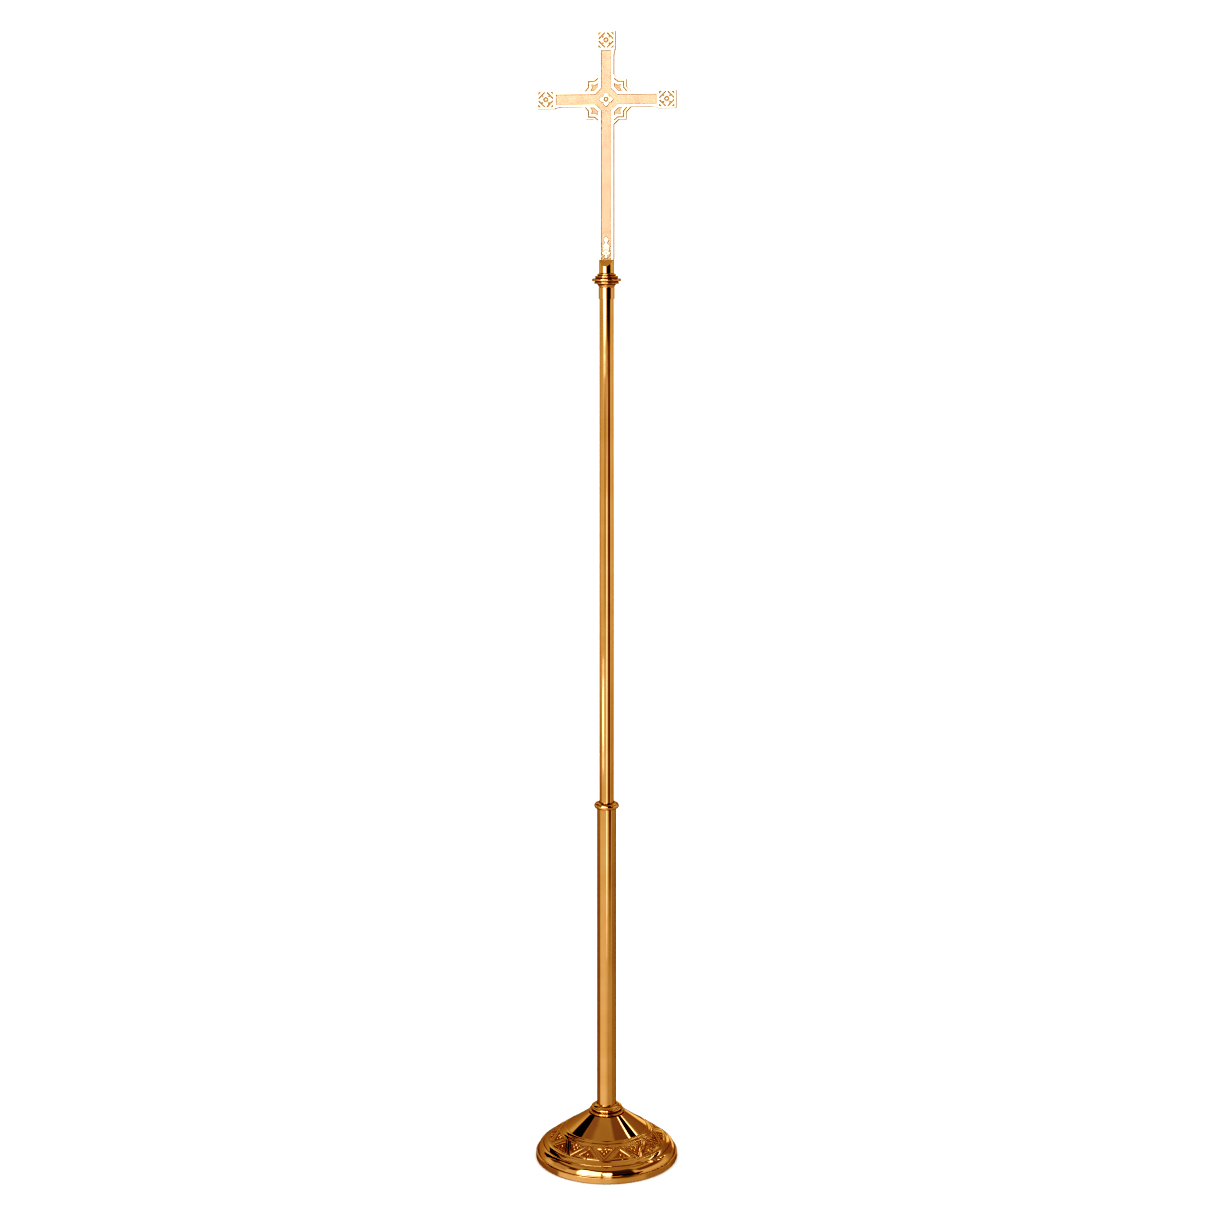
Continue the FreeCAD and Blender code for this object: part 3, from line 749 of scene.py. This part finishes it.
def band_relief(r):
    """Height above the slope and satin share, all round, at one radius inside the field."""
    strip_satin, floor_edge, pit_depth, pit_cell = 0.25, 0.9, 0.22, 2.1
    level = np.full(BAND_ANGLES.shape, BAND_STRIP)
    satin = np.full(BAND_ANGLES.shape, strip_satin)
    for points_up in (False, True):
        offset = ORNAMENT_PHASE + (BAND_PITCH / 2 if points_up else 0.0)
        local = (BAND_ANGLES - offset + BAND_PITCH / 2) % BAND_PITCH - BAND_PITCH / 2
        x, y = np.full(BAND_ANGLES.shape, r), r * local
        outline = triangle(points_up)
        inside = -distance_to(x, y, outline)
        ground = ease_step((inside - RIB_HALF) / floor_edge)
        pits = pit_depth * stipple(x, y, pit_cell)
        level = np.where(inside > 0, BAND_STRIP + (BAND_FLOOR - BAND_STRIP + pits) * ground, level)
        satin = np.where(inside > 0, ground, satin)
        from_foot = (x - outline[0][0]) * (-1 if points_up else 1)
        rib = rib_distance(y, inside, from_foot)
        height = np.sqrt(np.clip(1 - (rib / RIB_HALF) ** 2, 0, 1))
        level = level + (BAND_CREST - level) * height
        satin = satin * (1 - height)
    return level, satin


def band_lip():
    """Points of the foot, the rounded lip and a low swell, all outside the field."""
    low = span("base_band")[1]
    lip_r, lip_round = 124.5, 0.9
    middle_r = lip_r - lip_round
    middle_z = slope_z(middle_r) - lip_round * hypot(1, CONE_SLOPE)
    points = [(lip_r - 3.0, low), (lip_r, low)]
    for k in range(8):
        around = radians(8 * k)
        points.append((middle_r + lip_round * cos(around), middle_z + lip_round * sin(around)))
    for k in range(13):
        r = 120.7 - 4.2 * k / 12
        points.append((r, slope_z(r) + 0.5 * sin(pi * k / 12)))
    return points


def band_ridge():
    """Points inside the field: a low swell, the rounded ridge, the cone's ledge and the underside."""
    edge_r = span("base_cone")[0] + 0.05
    ledge = slope_z(edge_r - 0.05) - 2.2
    points = []
    for k in range(7):
        r = 88.7 - 2.9 * k / 6
        points.append((r, slope_z(r) + 0.25 * sin(pi * k / 6)))
    for k in range(17):
        across = 1 - k / 8
        r = 82.4 + 2.9 * across
        points.append((r, slope_z(r) + 1.1 * sqrt(1 - 0.98 * across * across)))
    points += [(edge_r, slope_z(edge_r)), (edge_r, ledge)]
    points += [(edge_r - 3.55, ledge), (edge_r - 3.55, ledge - 2.0)]
    points.append((BAND_OUT, slope_z(BAND_OUT) - 4.4))
    return points


def base_band():
    """The cast ring: a plain lip, a field of raised triangles, and a rounded ridge at its top."""
    rings, matt = [], []

    def add_ring(r, z, satin):
        rings.append(ring_points(r, z, BAND_ANGLES))
        matt.append(satin + np.zeros_like(BAND_ANGLES))

    for r, z in band_lip():
        add_ring(r, z, 0)
    border, border_level = 0.9, -0.1  # the relief fades out towards both edges of the field
    for r in np.arange(BAND_OUT, BAND_IN - 0.01, -BAND_ROW):
        level, satin = band_relief(r)
        fade = min(1.0, (BAND_OUT - r) / border, (r - BAND_IN) / border)
        level = border_level + (level - border_level) * fade
        add_ring(r, slope_z(r) + level, satin * fade)
    for r, z in band_ridge():
        add_ring(r, z, 0)
    faces = ring_faces(len(rings), len(BAND_ANGLES))
    material = MATERIALS["cast_brass"]
    obj = make_object("base_band_relief", np.concatenate(rings), faces, "stand", material)
    set_share(obj, "satin", np.concatenate(matt))
    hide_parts("base_band")


def cross_stud():
    """The threaded stud, with a real helical thread."""
    r, low, high = span("cross_stud")
    pitch = 25.4 / 13  # 13 turns to the inch
    depth, steep, flat_crest = 0.95, 1.25, 0.12
    chamfer, chamfer_height = 1.2, 1.4
    segments = 48
    rows = int((high - low) / pitch * 10)
    turn = np.arange(segments) / segments
    rings = []
    for k in range(rows + 1):
        z = low + (high - low) * k / rows
        wave = np.abs(((z / pitch - turn) % 1.0) * 2 - 1)
        tip = min(1.0, (z - low) / chamfer_height + 0.25, (high - z) / chamfer_height + 0.25)
        radius = r - depth * np.clip(wave * steep - flat_crest, 0, 1)
        radius = np.minimum(radius, (r - chamfer) + chamfer * tip)
        rings.append(ring_points(radius, z, tau * turn))
    near_axis = np.array([0.02, 0.02, 1.0])
    rings.insert(0, rings[0] * near_axis)
    rings.append(rings[-1] * near_axis)
    faces = ring_faces(len(rings), segments, closed=False).tolist()
    last = (len(rings) - 1) * segments
    faces += [list(range(segments))[::-1], list(range(last, last + segments))]
    points = np.concatenate(rings)
    material = MATERIALS["turned_brass"]
    obj = make_object("cross_stud_thread", points, faces, "cross_head", material)
    obj.data.set_sharp_from_angle(angle=radians(40))
    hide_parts("cross_stud")


def cross_socket():
    """The short round stub under the cross, bevelled back to the cross at front and back."""
    r, low, high = span("cross_socket")
    bore = span("cross_stud")[0] + 0.05
    bore_top = span("cross_stud")[2] + 0.5
    outline = [(bore, low), (r, low), (r, high), (0, high), (0, bore_top), (bore, bore_top)]
    obj = turned("cross_socket", outline, "cross_head", 160)
    half_bar = BAR_T / 2
    rise, run = high - BEVEL_DIP_Z, r - half_bar
    crisp = radians(25)
    solid = bmesh.new()
    solid.from_mesh(obj.data)
    for side in (-1, 1):
        everything = solid.verts[:] + solid.edges[:] + solid.faces[:]
        plane_point = (0, side * half_bar * MM, (high + 0.02) * MM)
        plane_normal = Vector((0, side * rise, run)).normalized()
        cut = bmesh.ops.bisect_plane(
            solid, geom=everything, plane_co=plane_point, plane_no=plane_normal, clear_outer=True
        )
        edges = [e for e in cut["geom_cut"] if isinstance(e, bmesh.types.BMEdge)]
        bmesh.ops.contextual_create(solid, geom=edges)
    solid.to_mesh(obj.data)
    solid.free()
    obj.data.set_sharp_from_angle(angle=crisp)
    bevel = obj.modifiers.new("eased_edges", "BEVEL")
    bevel.width = 0.3 * MM
    bevel.segments = 3
    bevel.limit_method = "ANGLE"
    bevel.angle_limit = crisp
    bevel.harden_normals = True


# ---- the cross ----

def turn_quarter(points, quarters):
    """Turns 2-D points by quarter turns, from +z towards -x."""
    for _ in range(quarters):
        points = [(-z, x) for x, z in points]
    return points


def arm_sides(reach):
    """One arm along +z: out along its right side, over its square end and back along its left."""
    flare_top = reach - TERMINAL_HALF
    right = [
        (SPANDREL_CORNER, SPANDREL_CORNER),
        (SPANDREL_SHOULDER, SPANDREL_CORNER),
        (BAR_HALF, SPANDREL_REACH),
        (BAR_HALF, flare_top - 13),
        (BAR_HALF + 0.8, flare_top - 6.5),
        (BAR_HALF + 2.2, flare_top),
        (TERMINAL_HALF, flare_top),
        (TERMINAL_HALF, reach + TERMINAL_HALF),
    ]
    return right + [(-x, z) for x, z in reversed(right[1:])]


def cross_outline():
    """The whole outline, from its right upper corner plate and round by the left arm and the foot."""
    foot = [
        (SPANDREL_CORNER, SPANDREL_CORNER),
        (SPANDREL_SHOULDER, SPANDREL_CORNER),
        (BAR_HALF, SPANDREL_REACH),
        (BAR_HALF, -FOOT_Z),
    ]
    foot += [(-x, z) for x, z in reversed(foot[1:])]
    arms = [arm_sides(TOP_REACH), arm_sides(ARM_REACH), foot, arm_sides(ARM_REACH)]
    return [point for k, arm in enumerate(arms) for point in turn_quarter(arm, k)]


def panel_outline():
    """The sunk field of the bars: a plus with cut inner corners."""
    short_of_end = 20.4
    side, top, low = ARM_REACH - short_of_end, TOP_REACH - short_of_end, FOOT_Z + 1.5
    h, c = PANEL_HALF, 22.4
    return [
        (-h, low), (h, low), (h, -c), (c, -h), (side, -h), (side, h), (c, h), (h, c),
        (h, top), (-h, top), (-h, c), (-c, h), (-side, h), (-side, -h), (-c, -h), (-h, -c),
    ]


# the corner plates: a sunk middle, and a groove that follows the stepped edge
SPANDREL_RECESS = [
    (16.3, 31.8), (16.3, 24.6), (24.6, 16.3), (31.8, 16.3), (28.4, 22.4), (29.6, 29.6), (22.4, 28.4),
]
SPANDREL_GROOVE = [(16.6, 41.0), (23.6, 35.2), (35.2, 35.2), (35.2, 23.6), (41.0, 16.6)]
CROSSING_DISC_R = 4.8
TERMINAL_DISC_R = 5.1


def distance_along(u, v, line):
    """Distance to an open line of straight runs."""
    away = np.full(np.shape(u), np.inf)
    for (ax, az), (bx, bz) in zip(line, line[1:]):
        ex, ez = bx - ax, bz - az
        t = np.clip(((u - ax) * ex + (v - az) * ez) / (ex * ex + ez * ez), 0, 1)
        away = np.minimum(away, np.hypot(u - ax - t * ex, v - az - t * ez))
    return away


def boss(x, z, disc_r):
    """A domed boss in a round recess: how far inside the recess, and the dome's rise over its floor."""
    radius = np.hypot(x, z)
    dome = np.sqrt(np.clip(1 - (radius / (0.52 * disc_r)) ** 2, 0, 1))
    return disc_r - radius, 0.85 * dome


def rosette_raised(x, z):
    """How far inside the flower at the crossing: a lozenge notched between its four petals."""
    u, v = np.abs(x), np.abs(z)
    lozenge = (14.6 - u - v) / sqrt(2)
    notch = np.hypot(u - 6.9, v - 6.9) - 1.9
    return np.minimum(lozenge, notch)


def terminal_sunk(x, z):
    """How far inside the recesses of a square end: corners, slanting bars with stubs, and a disc."""
    u, v = np.abs(x), np.abs(z)
    along, diagonal, skew = np.maximum(u, v), (u + v) / sqrt(2), np.abs(u - v) / sqrt(2)
    in_field = 15.0 - along
    corner = np.minimum(diagonal - 17.5, in_field)
    bar = np.minimum.reduce([1.4 - np.abs(diagonal - 11.8), 8.7 - skew, in_field])
    stub = np.minimum.reduce([diagonal - 7.7, 11.8 - diagonal, 1.9 - skew + (11.8 - diagonal) * -0.15])
    disc, _ = boss(x, z, TERMINAL_DISC_R)
    return np.maximum.reduce([corner, bar, stub, disc])


def finial_raised(x, z):
    """How far inside the small finial over the socket: two lozenges over a flower on a curled stem."""
    def lozenge(middle, half_w, half_h):
        return (1 - np.abs(x) / half_w - np.abs(z - middle) / half_h) * min(half_w, half_h) * 0.75

    u = np.abs(x)
    flower_v = np.abs(z - (FOOT_Z + 14.0))
    lobe = 3.4 - np.minimum(np.hypot(u - 4.7, flower_v), np.hypot(u, flower_v - 3.0))
    stem = np.minimum(1.9 - u, 4.5 - np.abs(z - (FOOT_Z + 8.0)))
    curl = 0.95 - np.abs(np.hypot(u - 6.0, z - (FOOT_Z + 6.0)) - 2.7)
    leaf = 2.2 - np.hypot(u - 4.6, (z - (FOOT_Z + 21.0)) * 0.7)
    upper = lozenge(FOOT_Z + 40.0, 5.6, 7.8)
    lower = lozenge(FOOT_Z + 27.5, 8.2, 8.0)
    return np.maximum.reduce([upper, lower, lobe, stem, curl, leaf])


def cross_relief(x, z):
    """Depth below the face of the cross, satin share and shade, x and z from the crossing."""
    rosette_box, finial_half, finial_top = 17, 12, FOOT_Z + 52
    u, v = np.abs(x), np.abs(z)
    panel = -distance_to(x, z, panel_outline())
    near = (u < rosette_box) & (v < rosette_box)
    flower_disc, dome = boss(x, z, CROSSING_DISC_R)
    panel[near] = np.minimum(panel[near], -rosette_raised(x[near], z[near]))
    panel = np.where(near, np.maximum(panel, flower_disc), panel)
    near = (u < finial_half) & (z < finial_top)
    panel[near] = np.minimum(panel[near], -finial_raised(x[near], z[near]))
    dot = 1.2 - np.hypot(x, z - (FOOT_Z + 14.0))
    spandrel = -distance_to(u, v, SPANDREL_RECESS)
    groove = 1.1 - distance_along(u, v, SPANDREL_GROOVE)
    ends = np.full(len(x), -np.inf)
    for ex, ez in [(0, TOP_REACH), (-ARM_REACH, 0), (ARM_REACH, 0)]:
        near = np.maximum(np.abs(x - ex), np.abs(z - ez)) < TERMINAL_HALF
        ends[near] = terminal_sunk(x[near] - ex, z[near] - ez)
        _, end_dome = boss(x - ex, z - ez, TERMINAL_DISC_R)
        dome = dome + end_dome
    sunk = np.maximum.reduce([panel, dot, spandrel, groove, ends])
    wall = ease_step((sunk + RELIEF_WALL) / (2 * RELIEF_WALL))
    grain = 0.03 * stipple(x, z, 1.3)
    dimple = 1.5 - 0.75 * (u + np.abs(z + 24.5) * 0.6)  # a small pit under the crossing
    depth = (RELIEF_DEPTH - grain) * wall - dome + 0.12 * ease_step(dimple)
    edge = -distance_to(x, z, cross_outline())
    fall = np.clip(1 - edge / EDGE_ROUND, 0, 1)
    depth = np.maximum(depth, EDGE_ROUND * (1 - np.sqrt(1 - fall * fall)))
    satin = wall * (dome < 0.05)
    narrow = np.maximum.reduce([groove, ends, flower_disc])
    outline = np.exp(-(sunk / RELIEF_WALL) ** 2)  # painted shade: a soft darker line along the edge of every recess, over its wall
    # the shade share darkens the narrow recesses fully and the corner plates by half, and paints shade along
    # every recess's edge; that line is also made satin, so it takes the darker ground tone
    shade = np.maximum.reduce([ease_step(narrow / RELIEF_WALL), 0.5 * (spandrel > 0), outline])
    satin = np.maximum(satin, 0.8 * outline)
    return depth, satin, shade


def face_grid(outline):
    """A face of the cross as a fine grid of quads, with the points at its rim moved onto the outline.

    Gives the points, the quads, the rim's sides as pairs of points, and the rim's points.
    """
    pitch = RELIEF_PITCH
    low = np.min(outline, axis=0)
    high = np.max(outline, axis=0)
    xs = np.arange(low[0] - pitch / 2, high[0] + pitch, pitch)
    zs = np.arange(low[1] - pitch / 2, high[1] + pitch, pitch)
    xs = xs - (xs[0] + xs[-1]) / 2
    middle_x, middle_z = np.meshgrid((xs[:-1] + xs[1:]) / 2, (zs[:-1] + zs[1:]) / 2, indexing="ij")
    kept = (distance_to(middle_x.ravel(), middle_z.ravel(), outline) < 0).reshape(middle_x.shape)
    ci, ck = np.nonzero(kept)
    wide = len(zs)
    quads = np.stack([ci * wide + ck, (ci + 1) * wide + ck, (ci + 1) * wide + ck + 1, ci * wide + ck + 1], -1)
    used, quads = np.unique(quads, return_inverse=True)
    quads = quads.reshape(-1, 4)
    flat = np.stack([xs[used // wide], zs[used % wide]], axis=-1)

    sides = np.concatenate([quads[:, [0, 1]], quads[:, [1, 2]], quads[:, [2, 3]], quads[:, [3, 0]]])
    _, which, times = np.unique(np.sort(sides, axis=1), axis=0, return_inverse=True, return_counts=True)
    rim = sides[times[which.ravel()] == 1]
    rim_points = np.unique(rim)
    flat[rim_points] = nearest_on(flat[rim_points], outline)[1]
    for corner in outline:
        away = np.hypot(*(flat[rim_points] - corner).T)
        flat[rim_points[np.argmin(away)]] = corner
    return flat, quads, rim, rim_points


def tang_box(first):
    """Points of the tang, and its faces counted from the first point."""
    half_w, half_t = 8, 4
    low, high = span("cross_casting")[1], FOOT_Z + CROSS_Z + 0.5
    corners = [(-half_w, -half_t), (half_w, -half_t), (half_w, half_t), (-half_w, half_t)]
    points = [(x, y, z) for z in (low, high) for x, y in corners]
    faces = [(3, 2, 1, 0), (4, 5, 6, 7), (0, 1, 5, 4), (1, 2, 6, 5), (2, 3, 7, 6), (3, 0, 4, 7)]
    return np.array(points), np.array(faces) + first


def cross_casting():
    """The cast cross: two relief faces on one outline, and the tang that enters the socket."""
    flat, quads, rim, rim_points = face_grid(cross_outline())
    depth, satin, shade = cross_relief(flat[:, 0], flat[:, 1])
    count = len(flat)
    half = BAR_T / 2
    height = CROSS_Z + flat[:, 1]
    front = np.stack([flat[:, 0], depth - half, height], axis=-1)
    back = np.stack([flat[:, 0], half - depth, height], axis=-1)

    # the side walls, from the front's rim to the back's over three rows of points
    row_place = np.zeros(count, np.int64)
    row_place[rim_points] = np.arange(len(rim_points))
    straight = half - EDGE_ROUND - 0.25
    levels = [-straight, 0.0, straight]
    across, up = flat[rim_points, 0], height[rim_points]
    walls = [np.stack([across, np.full(len(rim_points), y), up], axis=-1) for y in levels]
    rows = [rim]
    rows += [row_place[rim] + 2 * count + k * len(rim_points) for k in range(len(levels))]
    rows.append(rim + count)
    faces = [quads, quads[:, ::-1] + count]
    for near_row, far_row in zip(rows, rows[1:]):
        faces.append(np.stack([near_row[:, 1], near_row[:, 0], far_row[:, 0], far_row[:, 1]], axis=-1))

    points = np.concatenate([front, back] + walls)
    tang_points, tang_faces = tang_box(len(points))
    points = np.concatenate([points, tang_points])
    faces = np.concatenate(faces + [tang_faces])
    material = MATERIALS["gilt_cast_brass"]
    obj = make_object("cross_relief", points, faces, "cross_head", material)
    rest = len(points) - 2 * count
    set_share(obj, "satin", np.concatenate([satin, satin, np.full(rest, SIDE_SATIN)]))
    # painted shade share on both relief faces, none on the side walls and tang
    set_share(obj, "shade", np.concatenate([shade, shade, np.zeros(rest)]))
    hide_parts("cross_casting")


staff_rest_pad()
staff_foot_cushion()
knop_washer()
base_rim()
base_cone()
base_band()
cross_stud()
cross_socket()
cross_casting()
foot_collar()
base_felt()
sleeve_tube()
sleeve_collar()
staff_tube()
staff_ferrule()
knop()


# ---- nodes that keep their CAD shape ----

def finish_cad_nodes():
    """Gives every CAD node still showing its slot's material."""
    slots = {part["node"]: part["material_slot"] for part in frame["record"]["subparts"]}
    for name, node in frame["nodes"].items():
        node.data.materials.clear()
        node.data.materials.append(MATERIALS[slots[name]])


finish_cad_nodes()


# ---- room, light and camera ----

CAMERA_AZIMUTH = radians(9.0)  # round to the right of the front
CAMERA_REACH = 4.443
CAMERA_HEIGHT = 1.824
CAMERA_LENS = 66.37
CAMERA_SHIFT = (0.0003, -0.3056)

# What only the metal sees: a level that falls from low down to overhead, and soft patches over it.
# A patch is its middle azimuth from the camera (to the right is positive), half-width, lowest and
# highest elevation, softness of the edge, all in degrees, and radiance.
ROOM_LOW, ROOM_HIGH = 0.8, 0.52
ROOM = [
    # dim panels high up, in front and at the sides
    (0, 55, 38, 60, 8, 0.26),
    (-85, 32, 22, 46, 10, 0.24),
    (85, 30, 22, 46, 10, 0.30),
    # the far wall and the dimmer floor behind and beside the object
    (180, 62, -12, 25, 16, 0.55),
    (180, 40, -90, -8, 10, 0.36),
    (-118, 34, -90, -12.5, 8, 0.42),
    (110, 44, -90, -12.5, 10, 0.45),
    # the bright window on the left, with a whiter core and a dimmer panel on either side
    (-84, 15, -4, 34, 8, 0.60),
    (-29, 20, -2.8, 42, 2.2, 2.8),
    (-38, 6, -2.8, 42, 3, 4.4),
    (-5, 4.5, -3, 24, 3, 0.42),
    # the dark flag on the right, black along its foot
    (27.5, 18.5, -2, 48, 4, 0.20),
    (27.5, 18.5, -2, 0.5, 3, 0.0),
    (34, 26, -2.5, 6, 4, 0.0),
    # low panels in front, and the floor there
    (40, 15, -17, -2, 6, 0.22),
    (2, 4.5, -17, -6.5, 3, 2.1),
    (-25, 18, -10, -3.4, 3, 0.62),
    (-58, 13, -13, -11.2, 1.5, 2.8),
    (-45, 34, -90, -19, 14, 0.95),
    (70, 60, -90, -19, 20, 0.52),
    # flags and thin lights behind the object, high enough to show in the sides of the base's cone
    (-129, 8, 18, 60, 4, 0.0),
    (-114, 8, 54, 76, 8, 0.42),
    (108, 11, 58, 80, 6, 0.36),
    (118, 1.1, 35, 66, 0.8, 3.2),
    (124, 4.5, 28, 62, 2, 0.10),
    (129.5, 0.9, 28, 55, 0.8, 3.2),
    (147, 15, 5, 52, 6, 0.42),
    # a lamp above the camera, and a panel behind the object near the line of sight
    (1, 7, 6, 27, 4, 5.5),
    (163, 14, -6, 8, 6, 1.40),
]
DAYLIGHT = 1.5  # radiance of the world for rays that don't come off metal
BACKDROP = 1.35  # radiance that the camera sees, which shows as white


def patch_share(nodes, azimuth, elevation, patch):
    """From 0 outside a patch to 1 inside it."""
    middle, half, low, high, soft = patch
    turn = nodes.math("WRAP", nodes.math("SUBTRACT", azimuth, middle), 180.0, -180.0)
    inside = nodes.smooth(nodes.math("ABSOLUTE", turn), half + soft / 2, half - soft / 2)
    above = nodes.smooth(elevation, low - soft / 2, low + soft / 2)
    below = nodes.smooth(elevation, high + soft / 2, high - soft / 2)
    return nodes.math("MULTIPLY", inside, nodes.math("MULTIPLY", above, below))


def room_light(nodes, direction):
    """Radiance of the room in a direction, as the metal sees it."""
    x, y, z = nodes.add("ShaderNodeSeparateXYZ", {"Vector": direction}).outputs

    def along(axis_x, axis_y):
        return nodes.math("ADD", nodes.math("MULTIPLY", x, axis_x), nodes.math("MULTIPLY", y, axis_y))

    ahead = along(sin(CAMERA_AZIMUTH), -cos(CAMERA_AZIMUTH))
    side = along(cos(CAMERA_AZIMUTH), sin(CAMERA_AZIMUTH))
    azimuth = nodes.math("MULTIPLY", nodes.math("ARCTAN2", side, ahead), 180 / pi)
    elevation = nodes.math("MULTIPLY", nodes.math("ARCSINE", z), 180 / pi)
    level = nodes.smooth(elevation, 20, 80, ROOM_LOW, ROOM_HIGH)
    for *patch, radiance in ROOM:
        level = nodes.mix(patch_share(nodes, azimuth, elevation, patch), level, radiance)
    return level


def build_room():
    """A white backdrop for the camera, the room for the metal, and even light for the rest."""
    world = bpy.data.worlds.new("studio")
    bpy.context.scene.world = world
    world.use_nodes = True
    nodes = Nodes(world.node_tree)
    direction = nodes.add("ShaderNodeTexCoord").outputs["Generated"]
    rays = nodes.add("ShaderNodeLightPath").outputs
    off_camera = nodes.mix(rays["Is Glossy Ray"], DAYLIGHT, room_light(nodes, direction))
    strength = nodes.mix(rays["Is Camera Ray"], off_camera, BACKDROP)
    background = nodes.add("ShaderNodeBackground", {"Color": (1, 1, 1, 1), "Strength": strength})
    out = nodes.add("ShaderNodeOutputWorld")
    nodes.feed(out.inputs["Surface"], background.outputs[0])


def build_floor():
    """A wide white floor that the metal doesn't see."""
    half = 40.0
    corners = [(-half, -half, 0), (half, -half, 0), (half, half, 0), (-half, half, 0)]
    mesh = bpy.data.meshes.new("floor")
    mesh.from_pydata(corners, [], [(0, 1, 2, 3)])
    floor = bpy.data.objects.new("floor", mesh)
    bpy.context.scene.collection.objects.link(floor)
    material, nodes = new_material("floor")
    tone = nodes.mix_colour(nodes.noise(1.5, 2.0), (0.93, 0.93, 0.93, 1), (0.96, 0.96, 0.955, 1))
    nodes.surface({"Base Color": tone, "Roughness": 0.9, "Specular IOR Level": 0.0})
    mesh.materials.append(material)
    floor.visible_glossy = False


def build_camera():
    """The camera stands off to the right, and draws back as the staff is lifted, to keep it in view."""
    place = (CAMERA_REACH * sin(CAMERA_AZIMUTH), -CAMERA_REACH * cos(CAMERA_AZIMUTH), CAMERA_HEIGHT)
    stand = bpy.data.objects.new("camera_stand", None)
    bpy.context.scene.collection.objects.link(stand)
    height = cad_box[1].z
    for axis, value in enumerate(place):
        driver = stand.driver_add("location", axis).driver
        driver.type = "SCRIPTED"
        lift = driver.variables.new()
        lift.name = "lift"
        lift.type = "TRANSFORMS"
        lift.targets[0].id = frame["bodies"]["staff"]
        lift.targets[0].transform_type = "LOC_Z"
        lift.targets[0].transform_space = "WORLD_SPACE"
        driver.expression = f"{value:.6f} * (1 + lift / {height:.6f})"
    data = bpy.data.cameras.new("camera")
    camera = bpy.data.objects.new("camera", data)
    bpy.context.scene.collection.objects.link(camera)
    camera.parent = stand
    camera.rotation_euler = (pi / 2, 0, CAMERA_AZIMUTH)
    data.sensor_width = 36.0
    data.lens = CAMERA_LENS
    data.clip_start = 0.1
    data.clip_end = 200.0
    for axis, value in zip("xy", CAMERA_SHIFT):
        driver = data.driver_add("shift_" + axis).driver
        driver.type = "SCRIPTED"
        apart = driver.variables.new()
        apart.name = "apart"
        apart.type = "LOC_DIFF"
        apart.targets[0].id = camera
        apart.targets[1].id = stand
        driver.expression = f"{value} if apart < 0.001 else 0"
    bpy.context.scene.camera = camera


def set_tones():
    """A contrasty, slide-film response: deep shadows, and highlights that run out to white."""
    view = bpy.context.scene.view_settings
    view.view_transform = "Standard"
    view.look = "None"
    view.use_curve_mapping = True
    curve = view.curve_mapping.curves[3]  # the one for all colours together
    points = [(0.0, 0.0), (0.10, 0.002), (0.20, 0.024), (0.325, 0.141), (0.61, 0.468), (1.0, 0.913)]
    while len(curve.points) > 2:
        curve.points.remove(curve.points[1])
    curve.points[0].location = points[0]
    curve.points[-1].location = points[-1]
    for point in points[1:-1]:
        curve.points.new(*point)
    view.curve_mapping.update()


build_room()
build_floor()
build_camera()
set_tones()
